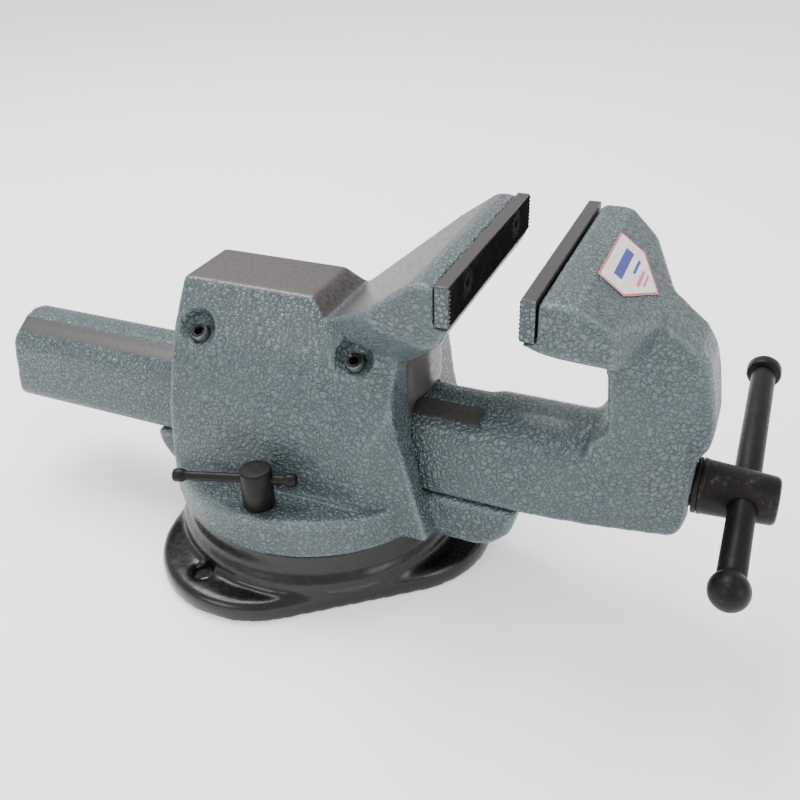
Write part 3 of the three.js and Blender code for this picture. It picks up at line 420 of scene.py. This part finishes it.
# ---------------------------------------------------------------- mesh helpers
def new_piece(bm, name, body, finish, replaces=(), smooth_angle=35):
    """The bmesh as a finished piece that rides on a body and stands for CAD nodes."""
    mesh = bpy.data.meshes.new(name)
    bm.to_mesh(mesh)
    bm.free()
    mesh.shade_smooth()
    mesh.set_sharp_from_angle(angle=math.radians(smooth_angle))
    piece = bpy.data.objects.new(name, mesh)
    bpy.context.scene.collection.objects.link(piece)
    for one in finish if isinstance(finish, (list, tuple)) else [finish]:
        mesh.materials.append(one)
    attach(piece, body)
    if replaces:
        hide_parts(*replaces)
    return piece


def frame_copy(node):
    """A frame node's mesh as a bmesh with its vertices joined."""
    bm = bmesh.new()
    bm.from_mesh(frame["nodes"][node].data)
    bmesh.ops.remove_doubles(bm, verts=bm.verts, dist=0.001 * MM)
    return bm


def soften_edges(bm, width, segments=2, angle=28):
    """Bevels every edge that turns by more than the angle."""
    sharp = [e for e in bm.edges if e.is_manifold and e.calc_face_angle(0) > math.radians(angle)]
    bmesh.ops.bevel(
        bm, geom=sharp, offset=width, offset_type="OFFSET", segments=segments, profile=0.5,
        affect="EDGES", clamp_overlap=True, material=-1,
    )


def trimmed_copy(node, width=0.35 * MM):
    """A frame node with its edges broken by a small bevel."""
    bm = frame_copy(node)
    bmesh.ops.dissolve_limit(bm, angle_limit=math.radians(1), verts=bm.verts, edges=bm.edges)
    soften_edges(bm, width)
    return bm


def turned(profile, start, direction, steps=72, closed_ring=False):
    """A turned shape. The profile is (distance along the axis, radius), from one end to the other."""
    bm = bmesh.new()
    points = [bm.verts.new((radius, 0, along)) for along, radius in profile]
    for a, b in zip(points, points[1:]):
        bm.edges.new((a, b))
    if closed_ring:
        bm.edges.new((points[-1], points[0]))
    bmesh.ops.spin(
        bm, geom=bm.verts[:] + bm.edges[:], cent=(0, 0, 0), axis=UP, dvec=(0, 0, 0),
        angle=math.tau, steps=steps, use_merge=True, use_normal_flip=False, use_duplicate=False,
    )
    bmesh.ops.remove_doubles(bm, verts=bm.verts, dist=0.001 * MM)
    bmesh.ops.recalc_face_normals(bm, faces=bm.faces)
    stand(bm, start, direction)
    return bm


def stand(bm, start, direction):
    """Turns a shape made along +Z to a direction and moves its origin to start."""
    turn = UP.rotation_difference(Vector(direction).normalized()).to_matrix().to_4x4()
    bmesh.ops.transform(bm, matrix=Matrix.Translation(start) @ turn, verts=bm.verts)


def with_modifier(bm, kind, **settings):
    """The bmesh after one modifier."""
    mesh = bpy.data.meshes.new("work")
    bm.to_mesh(mesh)
    work = bpy.data.objects.new("work", mesh)
    bpy.context.scene.collection.objects.link(work)
    modifier = work.modifiers.new("step", kind)
    for key, value in settings.items():
        setattr(modifier, key, value)
    graph = bpy.context.evaluated_depsgraph_get()
    done = bpy.data.meshes.new_from_object(work.evaluated_get(graph))
    bm.clear()
    bm.from_mesh(done)
    bpy.data.objects.remove(work)
    bpy.data.meshes.remove(mesh)
    bpy.data.meshes.remove(done)
    return bm


def cut(bm, cutter):
    """The bmesh less another one."""
    mesh = bpy.data.meshes.new("cutter")
    cutter.to_mesh(mesh)
    cutter.free()
    tool = bpy.data.objects.new("cutter", mesh)
    bpy.context.scene.collection.objects.link(tool)
    with_modifier(bm, "BOOLEAN", operation="DIFFERENCE", solver="EXACT", object=tool)
    bpy.data.objects.remove(tool)
    bpy.data.meshes.remove(mesh)
    return bm


def points_of(bm):
    """The vertices of a bmesh."""
    return np.array([v.co for v in bm.verts])


def set_attribute(piece, name, values):
    field = piece.data.attributes.new(name, "FLOAT", "POINT")
    field.data.foreach_set("value", np.asarray(values, np.float32))


def rub(bm):
    """One pass of smoothing over the whole mesh."""
    bmesh.ops.smooth_vert(
        bm, verts=bm.verts, factor=0.5, use_axis_x=True, use_axis_y=True, use_axis_z=True,
    )


def cast_copy(node, name, body, finish, passes, keep=None):
    """A frame node as a casting, with an even skin that is rubbed round at its edges.

    keep gives how much of its sharp shape each point keeps, from 0 to 1.
    """
    bm = with_modifier(frame_copy(node), "REMESH", mode="VOXEL", voxel_size=sizes().voxel, adaptivity=0.0)
    rub(bm)
    sharp = points_of(bm)
    for _ in range(passes):
        rub(bm)
    bm.normal_update()
    soft = points_of(bm)
    normals = np.array([v.normal for v in bm.verts])
    if keep is not None:
        share = keep(sharp)[:, None]
        soft = soft + (sharp - soft) * share
        for vert, point in zip(bm.verts, soft):
            vert.co = point
    rubbed = ((sharp - soft) * normals).sum(1) / MM
    piece = new_piece(bm, name, body, finish, [node], smooth_angle=180)
    set_attribute(piece, "edge", rubbed)
    return piece, soft, normals


def mid(node):
    """Middle of a frame node's box."""
    low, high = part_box(node)
    return (low + high) / 2


# ---------------------------------------------------------------- castings
def inside(points, low, high):
    """Depth of each point inside a box, in mm, negative outside."""
    below = np.minimum(points - np.array(low), np.array(high) - points)
    return below.min(1) / MM


def turned_to(normals, direction, strictness):
    """1 where the surface faces a direction, falling as it turns away."""
    return 1.0 - np.abs(normals @ np.array(direction) - 1) * strictness


# Corners of the boxes that hold the bare faces of the body, in metres
FACET_BOX = ((0.013, -0.03, 0.149), (0.03, 0.03, 0.16))
NOSE_BOX = ((0.06, -0.024, 0.1), (0.085, 0.024, 0.137))
BACK_LOW = (0.03, -0.064, 0.152)
BACK_HALF_WIDTH = 64 * MM
BACK_TOP = 196 * MM
PAINTED_STRIP = 10.5 * MM  # left painted between the jaw's bare back and its plate
FACET_NORMAL = (0.743, 0, 0.669)
BROW_NORMAL = (0.391, 0, 0.92)  # edge between the anvil's top and its facet
BACK_NORMAL = (-0.6, 0, 0.8)
ANVIL_FRONT = 30 * MM


def body_casting():
    """Body, anvil and fixed jaw in one casting, bare on the anvil, the jaw's back and the nose."""
    low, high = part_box("body_casting")
    plate_low, plate_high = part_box("fixed_jaw_plate")
    anvil_z = frame_face("anvil_face")
    seat_low = (plate_low.x - 4 * MM, low.y - 1, plate_low.z - 3 * MM)
    seat_high = (high.x + 1, high.y + 1, plate_high.z - MM)

    def keep(points):
        seat = inside(points, seat_low, seat_high)
        anvil = 1.2 - np.abs(points[:, 2] - anvil_z) / MM
        return np.clip(np.maximum(seat * 0.5, anvil * 0.6), 0, 0.85)

    piece, points, normals = cast_copy(
        "body_casting", "body_casting_cast", "body", paint(), sizes().edge_passes, keep,
    )
    anvil = (points[:, 2] - anvil_z) / MM + 0.55
    anvil = np.where(points[:, 0] < ANVIL_FRONT, anvil, -5)
    facet = np.maximum(turned_to(normals, FACET_NORMAL, 22), turned_to(normals, BROW_NORMAL, 12))
    facet = np.minimum(facet, inside(points, *FACET_BOX) + 0.8)
    back_high = (plate_low.x - PAINTED_STRIP, BACK_HALF_WIDTH, BACK_TOP)
    back = np.minimum(turned_to(normals, BACK_NORMAL, 25), inside(points, BACK_LOW, back_high))
    nose = np.minimum((normals[:, 0] - 0.55) * 4, inside(points, *NOSE_BOX))
    set_attribute(piece, "bare", np.maximum.reduce([anvil, facet, back, nose]))
    # The anvil's top gets the darker worn steel; the facet gets the same darker tone as painted reflection of the
    # dark surroundings
    set_attribute(piece, "wear_and_dark_reflection", np.where(np.maximum(anvil, facet) > -1, 1.0, 0.0))


def frame_face(mount):
    """Height of a named flat face of the frame."""
    found = [m for m in frame["record"]["mounts"] if m["name"] == mount]
    return found[0]["pos_m"][2]


STRIP_FOOT = 96.5 * MM  # nothing of the beam is milled below this height


def sliding_jaw():
    """Sliding jaw: painted but for the milled guide strips of its beam."""
    plate_low, plate_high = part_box("sliding_jaw_plate")
    gib_low, gib_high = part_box("guide_gib_far")
    seat_low = (plate_low.x - 1, -1, plate_low.z - 3 * MM)
    seat_high = (plate_high.x + 4 * MM, 1, plate_high.z - MM)

    def keep(points):
        return np.clip(inside(points, seat_low, seat_high) * 0.5, 0, 0.85)

    piece, points, _ = cast_copy(
        "sliding_jaw", "sliding_jaw_cast", "jaw", paint(), sizes().edge_passes, keep,
    )
    side = np.abs(points[:, 1])
    milled = np.minimum(side - (gib_low.y - 1.2 * MM), gib_high.y - 2.2 * MM - side) / MM
    milled = np.minimum(milled, (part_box("fixed_jaw_plate")[1].x - points[:, 0]) / MM)
    milled = np.minimum(milled, (points[:, 2] - STRIP_FOOT) / MM)
    set_attribute(piece, "bare", milled)
    # Ahead of the body the milled strips get the darker steel tone: painted reflection of the dark surroundings on
    # the same steel as at the rear
    front = 1 - (gib_high.x + 3 * MM - points[:, 0]) / (4 * MM)
    set_attribute(piece, "wear_and_dark_reflection", np.clip(front, 0, 1))


def swivel_base():
    """Swivel base in gloss enamel."""
    cast_copy("swivel_base", "swivel_base_cast", "base", enamel(), sizes().edge_passes)


# ---------------------------------------------------------------- jaw plates
def jaw_plate(node, name, body, facing, screws):
    """Serrated plate whose teeth end at the frame plate's gripping face."""
    low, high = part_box(node)
    tall = sizes().tooth_height
    face_x = high.x if facing > 0 else low.x
    back_x = low.x if facing > 0 else high.x
    slab_face = face_x - facing * tall
    bm = bmesh.new()
    bmesh.ops.create_cube(bm, size=1)
    bmesh.ops.scale(bm, vec=(abs(slab_face - back_x), high.y - low.y, high.z - low.z), verts=bm.verts)
    middle = ((slab_face + back_x) / 2, (low.y + high.y) / 2, (low.z + high.z) / 2)
    bmesh.ops.translate(bm, vec=middle, verts=bm.verts)
    soften_edges(bm, 0.4 * MM)
    holes = [mid(screw) for screw in screws]
    shank, rim, rim_depth = 3.4 * MM, 6.4 * MM, 3.3 * MM  # of the countersunk holes
    for hole in holes:
        cone = [(-9 * MM, 0), (-9 * MM, shank), (-rim_depth, shank), (0, rim), (MM, rim), (MM, 0)]
        sink = turned(cone, (face_x, hole.y, hole.z), (facing, 0, 0), 48)
        cut(bm, sink)
    pitch = sizes().tooth_pitch
    columns = int((high.y - low.y) / pitch)
    rows = int((high.z - low.z - 0.4 * MM) / pitch)
    turn = UP.rotation_difference(Vector((facing, 0, 0))).to_matrix().to_4x4()
    diagonal = Matrix.Rotation(math.radians(45), 4, "Z")
    foot_r, tip_r = pitch * 0.7, pitch * 0.06
    for column in range(columns):
        for row in range(rows):
            y = low.y + (high.y - low.y - columns * pitch) / 2 + (column + 0.5) * pitch
            z = low.z + (high.z - low.z - rows * pitch) / 2 + (row + 0.5) * pitch
            if min(math.hypot(y - hole.y, z - hole.z) for hole in holes) < rim + 1.1 * MM:
                continue
            place = Matrix.Translation((slab_face + facing * (tall / 2 - 0.02 * MM), y, z))
            bmesh.ops.create_cone(
                bm, cap_ends=True, cap_tris=False, segments=4, radius1=foot_r, radius2=tip_r,
                depth=tall, matrix=place @ turn @ diagonal,
            )
    piece = new_piece(bm, name, body, plate_finish(), [node], smooth_angle=20)
    for face in piece.data.polygons:
        y, z = face.center.y, face.center.z
        sunk = min(math.hypot(y - hole.y, z - hole.z) for hole in holes) < rim + 0.2 * MM
        facing_out = (face.center.x - slab_face) * facing > -0.05 * MM
        at_end = abs(face.normal.y) > 0.6 and abs(y) > high.y - MM
        face.material_index = 2 if at_end else int(sunk or facing_out)


def points_in(piece):
    """The vertices of a finished piece."""
    return np.array([vert.co for vert in piece.data.vertices])


def plate_screw(node, body):
    """Plate screw with its edges broken, as black as the gripping face round it."""
    bm = trimmed_copy(node, 0.2 * MM)
    new_piece(bm, node + "_finished", body, material("grip_black", grip_black), [node])


# ---------------------------------------------------------------- screw, handle and locks
SHAFT_R = 11 * MM
SHAFT_BORE_R = SHAFT_R + 0.3 * MM  # of the rings that sit on the shaft
JOURNAL = 12 * MM  # plain length of the shaft ahead of the collar
BAR_GAP = 0.35 * MM  # round a bar in its cross hole
LOCK_BAR_R = 2.5 * MM
LOCK_BAR_REACH = (38 * MM, 14.5 * MM)  # from the lock screw to the bar's knobs, long and short side
LOCK_SEAT = 58.3 * MM  # height of the underside of a lock screw's head


def main_screw():
    """Main screw: turned head with a cross hole, and a shaft with its real thread."""
    low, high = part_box("main_screw")
    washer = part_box("thrust_washer")[1].x + 0.3 * MM
    axis_z = (low.z + high.z) / 2
    head_r = (high.z - low.z) / 2
    length = high.x - washer
    end_r = head_r - 2.2 * MM
    bm = turned(
        [(-2 * MM, 0), (-2 * MM, 10 * MM), (0, 10 * MM), (0, head_r), (1.5 * MM, head_r),
         (2 * MM, head_r - 0.35 * MM),
         (length - 2 * MM, end_r + 0.1 * MM), (length - 0.7 * MM, end_r - 0.7 * MM), (length, end_r - 2 * MM),
         (length - 0.3 * MM, 3 * MM), (length - 0.3 * MM, 0)],
        (washer, 0, axis_z), ALONG_BEAM, 96,
    )
    bar = bar_direction()
    hole_r = bar_radius() + BAR_GAP
    hole = Vector((mid("handle_bar").x, 0, axis_z))
    bore = turned([(-0.05, 0), (-0.05, hole_r), (0.05, hole_r), (0.05, 0)], hole, bar, 64)
    cut(bm, bore)
    soften_edges(bm, 0.5 * MM, 3, 30)
    new_piece(bm, "screw_head", "screw", scuffed_oxide(), ["main_screw"])
    thread(low.x, washer - 1.5 * MM, axis_z)


def thread(start, end, axis_z):
    """Trapezoid thread swept from start to a plain journal that runs to end."""
    crest = SHAFT_R
    root = crest - sizes().thread_depth
    core = root + 0.01 * MM  # just proud of the root, so that the core closes the thread
    lead = sizes().thread_lead
    thread_start = start + 1.5 * MM
    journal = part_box("thrust_collar")[0].x - JOURNAL
    turns = int((journal - start) / lead) - 1
    steps = 28
    bm = bmesh.new()
    section = [(0.0, root), (0.3, root), (0.42, crest), (0.78, crest), (0.9, root), (1.0, root)]
    points = [bm.verts.new((radius, 0, share * lead)) for share, radius in section]
    for a, b in zip(points, points[1:]):
        bm.edges.new((a, b))
    bmesh.ops.spin(
        bm, geom=bm.verts[:] + bm.edges[:], cent=(0, 0, 0), axis=UP, dvec=(0, 0, lead / steps),
        angle=math.tau * turns, steps=steps * turns, use_merge=False, use_normal_flip=False,
        use_duplicate=False,
    )
    bmesh.ops.remove_doubles(bm, verts=bm.verts, dist=0.01 * MM)
    bmesh.ops.holes_fill(bm, edges=bm.edges, sides=0)
    bmesh.ops.recalc_face_normals(bm, faces=bm.faces)
    stand(bm, (thread_start, 0, axis_z), ALONG_BEAM)
    new_piece(bm, "screw_thread", "screw", oxide(), smooth_angle=30)
    thread_end = thread_start + (turns + 0.5) * lead
    bm = turned(
        [(0, 0), (0, root - 0.4 * MM), (2 * MM, core),
         (thread_end - start, core), (thread_end - start + 3 * MM, crest),
         (end - start, crest), (end - start, 0)],
        (start, 0, axis_z), ALONG_BEAM, 56,
    )
    new_piece(bm, "screw_shaft", "screw", oxide(), smooth_angle=30)


def bar_direction():
    """Unit vector along the handle bar, from the joint it slides on."""
    joint = [j for j in frame["joints"] if j["name"] == "handle_slide"][0]
    return Vector(joint["axis"]).normalized()


def bar_radius():
    low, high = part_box("handle_bar")
    return (high.x - low.x) / 2


def along(node, pivot, axis):
    """Where a frame node starts and ends along an axis through a point."""
    vertices = frame["nodes"][node].data.vertices
    places = [(vert.co - pivot).dot(axis) for vert in vertices]
    return min(places), max(places)


def ring_piece(node, body, finish, axis, outer, inner):
    """A turned ring that fills a frame ring along an axis."""
    low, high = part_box(node)
    centre = (low + high) / 2
    half = abs((high - low).dot(axis)) / 2
    section = [(-half, inner), (-half, outer), (half, outer), (half, inner)]
    bm = turned(section, centre, axis, 72, closed_ring=True)
    soften_edges(bm, 0.5 * MM, 2, 30)
    new_piece(bm, node + "_turned", body, finish, [node])


def handle():
    """Handle bar, its ball and its cap, all turned."""
    bar = bar_direction()
    screw_low, screw_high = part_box("main_screw")
    centre = Vector((mid("handle_bar").x, 0, (screw_low.z + screw_high.z) / 2))
    radius = bar_radius()
    ball_start, ball_end = along("handle_ball", centre, bar)
    cap, cap_end = along("handle_cap", centre, bar)
    near = ball_end + 0.3 * MM
    far = cap - 0.3 * MM
    bm = turned(
        [(near, 0), (near, radius - MM), (near + 1.5 * MM, radius), (far - MM, radius),
         (far, radius - MM), (far, 0)],
        centre, bar, 64,
    )
    new_piece(bm, "handle_bar_turned", "handle", oxide(), ["handle_bar"])

    ball_low, ball_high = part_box("handle_ball")
    ball_r = (ball_high.x - ball_low.x) / 2
    ball = ball_start + ball_r
    stop = math.acos((ball - ball_end) / ball_r)
    arc = [(ball - ball_r * math.cos(t), ball_r * math.sin(t)) for t in np.linspace(0, stop - 0.08, 24)]
    bm = turned([*arc, (ball_end, arc[-1][1] - 0.7 * MM), (ball_end, 0)], centre, bar, 72)
    new_piece(bm, "handle_ball_turned", "handle", scuffed_oxide(), ["handle_ball"])

    cap_low, cap_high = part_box("handle_cap")
    cap_r = (cap_high.x - cap_low.x) / 2
    bm = turned(
        [(cap, 0), (cap, cap_r - 1.6 * MM), (cap + 0.8 * MM, cap_r - 0.4 * MM), (cap + 2 * MM, cap_r),
         (cap_end - 2.4 * MM, cap_r), (cap_end - 0.8 * MM, cap_r - 0.9 * MM), (cap_end, cap_r - 2.6 * MM),
         (cap_end, 0)],
        centre, bar, 72,
    )
    new_piece(bm, "handle_cap_turned", "handle", scuffed_oxide(), ["handle_cap"])


def lock(word, body, bar_body):
    """Lock screw with its cross hole, its bar and the bar's two knobs."""
    low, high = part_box(f"lock_screw_{word}")
    centre = (low + high) / 2
    head_r = (high.x - low.x) / 2
    joint = [j for j in frame["joints"] if j["name"] == f"lock_bar_slide_{word}"][0]
    bar = Vector(joint["axis"]).normalized()
    top = high.z
    bar_z = mid(f"lock_bar_{word}").z
    bm = turned(
        [(low.z, 0), (low.z, 4.2 * MM), (low.z + MM, 5 * MM), (LOCK_SEAT, 5 * MM), (LOCK_SEAT, head_r),
         (top - MM, head_r), (top, head_r - MM), (top - 0.25 * MM, 2 * MM), (top - 0.25 * MM, 0)],
        (centre.x, centre.y, 0), UP, 72,
    )
    hole_r = LOCK_BAR_R + BAR_GAP
    hole = [(-0.02, 0), (-0.02, hole_r), (0.02, hole_r), (0.02, 0)]
    bore = turned(hole, (centre.x, centre.y, bar_z), bar, 40)
    cut(bm, bore)
    soften_edges(bm, 0.35 * MM, 2, 30)
    new_piece(bm, f"lock_screw_{word}_turned", body, oxide(), [f"lock_screw_{word}"])

    pivot = Vector((centre.x, centre.y, bar_z))
    long_face, short_face = LOCK_BAR_REACH
    rod = [(-short_face, 0), (-short_face, LOCK_BAR_R), (long_face, LOCK_BAR_R), (long_face, 0)]
    bm = turned(rod, pivot, bar, 40)
    new_piece(bm, f"lock_bar_{word}_turned", bar_body, oxide(), [f"lock_bar_{word}"])
    knob = [(0, 0), (0, 2.7 * MM), (0.6 * MM, 2.85 * MM), (1.6 * MM, 3.5 * MM), (2.6 * MM, 3.6 * MM),
            (5.4 * MM, 3.6 * MM), (6.5 * MM, 3.1 * MM), (7 * MM, 2 * MM), (7 * MM, 0)]
    for letter, face, outward in (("a", long_face, bar), ("b", short_face, -bar)):
        bm = turned(knob, pivot + outward * face, outward, 40)
        node = f"lock_bar_knob_{word}_{letter}"
        new_piece(bm, node + "_turned", bar_body, oxide(), [node])


# ---------------------------------------------------------------- small fittings
def fitting(node, body, finish, width=0.35 * MM):
    """A small frame part with its edges broken."""
    new_piece(trimmed_copy(node, width), node + "_finished", body, finish, [node])


SOCKET_R = 3.2 * MM  # of the black socket in a gib screw's end


def gib_screw(node):
    """Socket set screw with a worn rim round its black socket."""
    finish = [material("set_screw_rim", set_screw_rim), oxide()]
    piece = new_piece(trimmed_copy(node, 0.3 * MM), node + "_finished", "body", finish, [node])
    points = points_in(piece)
    middle = points.mean(0)
    axis = np.linalg.svd(points - middle)[2][0]
    for face in piece.data.polygons:
        arm = np.array(face.center) - middle
        from_axis = np.linalg.norm(arm - axis * arm.dot(axis))
        face.material_index = int(from_axis < SOCKET_R)


# ---------------------------------------------------------------- label
LABEL_LENGTH = 22  # mm, down the slope
LABEL_BARS = (  # share of the length below the middle, width, height and offset in mm, material
    (-0.16, 30, 4.6, 0, 2), (0.12, 15, 1.4, 6, 2), (0.3, 17, 1.6, -1, 3), (0.42, 12, 1.2, 1, 3),
)
LABEL_INKS = {
    "label_border": (0.55, 0.06, 0.07), "label_blue": (0.03, 0.035, 0.25), "label_red": (0.6, 0.16, 0.18),
}


def label():
    """Five-sided label with a red border and plain printed bars."""
    bm = frame_copy("jaw_label")
    bmesh.ops.dissolve_limit(bm, angle_limit=math.radians(2), verts=bm.verts, edges=bm.edges)
    bm.faces.ensure_lookup_table()
    top = max(bm.faces, key=lambda face: face.calc_area() * max(face.normal.z, 0))
    slope = top.normal.copy()
    centre = top.calc_center_median()
    down = ACROSS.cross(slope)
    ring = bmesh.ops.inset_region(bm, faces=[top], thickness=0.9 * MM, depth=0, use_even_offset=True)
    for face in ring["faces"]:
        face.material_index = 1
    turn = UP.rotation_difference(slope).to_matrix().to_4x4()
    for share, width, height, offset, tone in LABEL_BARS:
        made = bmesh.ops.create_cube(bm, size=1)["verts"]
        bmesh.ops.scale(bm, vec=(height * MM, width * MM, 0.08 * MM), verts=made)
        place = centre + down * share * LABEL_LENGTH * MM + ACROSS * offset * MM
        bmesh.ops.transform(bm, matrix=Matrix.Translation(place) @ turn, verts=made)
        for face in {f for v in made for f in v.link_faces}:
            face.material_index = tone
    tones = [material("label_film", printed, "label_film", tuple(colours().film))]
    tones += [material(name, printed, name, ink) for name, ink in LABEL_INKS.items()]
    new_piece(bm, "jaw_label_printed", "jaw", tones, ["jaw_label"])


# ---------------------------------------------------------------- stage
def floor():
    """Wide pale floor just under the base."""
    bm = bmesh.new()
    bmesh.ops.create_grid(bm, x_segments=1, y_segments=1, size=6.0)
    bmesh.ops.translate(bm, vec=(0, 0, -0.35 * MM), verts=bm.verts)
    mesh = bpy.data.meshes.new("floor")
    bm.to_mesh(mesh)
    bm.free()
    ground = bpy.data.objects.new("floor", mesh)
    bpy.context.scene.collection.objects.link(ground)
    mat = Recipe("pale_floor")
    mesh.materials.append(mat.finish(
        Base_Color=(0.97, 0.97, 0.97), Roughness=0.7, Emission_Color=(1, 1, 1), Emission_Strength=0.5,
    ))
    ground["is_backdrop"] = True


def soft_light(name, place, target, size, power):
    """Round area lamp at a place, turned to a target."""
    lamp = bpy.data.lights.new(name, "AREA")
    lamp.shape = "DISK"
    lamp.size = size
    lamp.energy = power
    light = bpy.data.objects.new(name, lamp)
    light.location = place
    light.rotation_euler = (Vector(target) - Vector(place)).to_track_quat("-Z", "Y").to_euler()
    bpy.context.scene.collection.objects.link(light)


EYE_PLACE = (0.2234, -0.3912, 0.3613)
EYE_AROUND, EYE_DOWN, EYE_ROLL = 25.17, 28.71, -2.25  # degrees


def camera():
    """Camera that looks down on the front end of the vise."""
    lens = bpy.data.cameras.new("camera")
    lens.lens = 41.4
    lens.sensor_width = 36
    lens.shift_x = 0.030
    lens.shift_y = -0.066
    eye = bpy.data.objects.new("camera", lens)
    around = Matrix.Rotation(math.radians(EYE_AROUND), 4, "Z")
    tilt = Matrix.Rotation(math.radians(90 - EYE_DOWN), 4, "X")
    roll = Matrix.Rotation(math.radians(EYE_ROLL), 4, "Z")
    eye.matrix_world = Matrix.Translation(EYE_PLACE) @ around @ tilt @ roll
    bpy.context.scene.collection.objects.link(eye)
    bpy.context.scene.camera = eye


def surroundings():
    """Even white light from all round."""
    world = bpy.data.worlds.new("studio")
    world.use_nodes = True
    background = world.node_tree.nodes["Background"]
    background.inputs["Color"].default_value = (1, 1, 1, 1)
    background.inputs["Strength"].default_value = 1.05
    bpy.context.scene.world = world


# ---------------------------------------------------------------- operators
class Build:
    """What every operator of this file shares."""

    bl_options = {"REGISTER", "UNDO"}

    def execute(self, context):
        self.make()
        return {"FINISHED"}


class VISE_OT_castings(Build, bpy.types.Operator):
    """Build the body, the sliding jaw and the swivel base as painted castings"""
    bl_idname = "vise.castings"
    bl_label = "Castings"

    def make(self):
        body_casting()
        sliding_jaw()
        swivel_base()


class VISE_OT_jaw_plates(Build, bpy.types.Operator):
    """Build the serrated jaw plates and their screws"""
    bl_idname = "vise.jaw_plates"
    bl_label = "Jaw plates"

    def make(self):
        fixed = ["fixed_plate_screw_near", "fixed_plate_screw_far"]
        sliding = ["sliding_plate_screw_near", "sliding_plate_screw_far"]
        jaw_plate("fixed_jaw_plate", "fixed_jaw_plate_serrated", "body", 1, fixed)
        jaw_plate("sliding_jaw_plate", "sliding_jaw_plate_serrated", "jaw", -1, sliding)
        for node in fixed:
            plate_screw(node, "body")
        for node in sliding:
            plate_screw(node, "jaw")


class VISE_OT_main_screw(Build, bpy.types.Operator):
    """Build the main screw, its thrust washer and its collar"""
    bl_idname = "vise.main_screw"
    bl_label = "Main screw"

    def make(self):
        main_screw()
        for node, outer in (("thrust_washer", 14 * MM), ("thrust_collar", 15 * MM)):
            ring_piece(node, "screw", oxide(), ALONG_BEAM, outer=outer, inner=SHAFT_BORE_R)
        fitting("collar_pin", "screw", steel())


class VISE_OT_handle(Build, bpy.types.Operator):
    """Build the handle bar, its ball and its cap"""
    bl_idname = "vise.handle"
    bl_label = "Handle"

    def make(self):
        handle()


class VISE_OT_locks(Build, bpy.types.Operator):
    """Build both lock screws with their bars and knobs"""
    bl_idname = "vise.locks"
    bl_label = "Swivel locks"

    def make(self):
        for word in ("near", "far"):
            lock(word, f"lock_{word}", f"lock_bar_{word}")
            fitting(f"t_nut_{word}", "body", oxide())


class VISE_OT_guides(Build, bpy.types.Operator):
    """Build the guide gibs, the gib screws and the screw nut with its bolts"""
    bl_idname = "vise.guides"
    bl_label = "Guides and nut"

    def make(self):
        for word in ("near", "far"):
            fitting(f"guide_gib_{word}", "body", steel())
            for end in ("rear", "front"):
                gib_screw(f"gib_screw_{word}_{end}")
        fitting("screw_nut", "body", bronze(), 0.8 * MM)
        for end in ("rear", "front"):
            fitting(f"nut_bolt_{end}", "body", oxide(), 0.5 * MM)


class VISE_OT_pivot(Build, bpy.types.Operator):
    """Build the pivot bolt and its washer"""
    bl_idname = "vise.pivot"
    bl_label = "Pivot"

    def make(self):
        fitting("pivot_bolt", "body", oxide(), 0.7 * MM)
        ring_piece("pivot_washer", "body", steel(), UP, outer=26 * MM, inner=8.4 * MM)


class VISE_OT_label(Build, bpy.types.Operator):
    """Build the plain label on the sliding jaw"""
    bl_idname = "vise.label"
    bl_label = "Label"

    def make(self):
        label()


class VISE_OT_stage(Build, bpy.types.Operator):
    """Build the floor, the lights and the camera"""
    bl_idname = "vise.stage"
    bl_label = "Stage"

    def make(self):
        floor()
        camera()
        surroundings()
        soft_light("over", (-0.5, 0.35, 1.5), (0, 0, 0.1), 1.1, 34)
        soft_light("front", (-0.6, -1.4, 0.9), (0, 0, 0.1), 0.9, 9)
        soft_light("side", (1.4, -0.5, 0.7), (0.1, 0, 0.1), 0.8, 7)


OPERATORS = (
    VISE_OT_castings, VISE_OT_jaw_plates, VISE_OT_main_screw, VISE_OT_handle, VISE_OT_locks,
    VISE_OT_guides, VISE_OT_pivot, VISE_OT_label, VISE_OT_stage,
)


class VISE_PT_panel(bpy.types.Panel):
    """Lists the vise's sizes, colours and pieces"""
    bl_idname = "VISE_PT_panel"
    bl_label = "Bench Vise"
    bl_space_type = "VIEW_3D"
    bl_region_type = "UI"
    bl_category = "Vise"

    def draw(self, context):
        for group in (context.scene.vise_sizes, context.scene.vise_colours):
            for name in group.__annotations__:
                self.layout.prop(group, name)
        for operator in OPERATORS:
            self.layout.operator(operator.bl_idname)


CLASSES = (ViseSizes, ViseColours, *OPERATORS, VISE_PT_panel)


def register():
    for one in CLASSES:
        bpy.utils.register_class(one)
    bpy.types.Scene.vise_sizes = bpy.props.PointerProperty(type=ViseSizes)
    bpy.types.Scene.vise_colours = bpy.props.PointerProperty(type=ViseColours)


def unregister():
    del bpy.types.Scene.vise_colours
    del bpy.types.Scene.vise_sizes
    for one in reversed(CLASSES):
        bpy.utils.unregister_class(one)


def main():
    register()
    for operator in OPERATORS:
        group, name = operator.bl_idname.split(".")
        getattr(getattr(bpy.ops, group), name)()
    boxes = {"cad": CAD_BOX, "visual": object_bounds()}
    plain = {key: [[float(v) for v in corner] for corner in box] for key, box in boxes.items()}


if __name__ == "__main__":
    main()
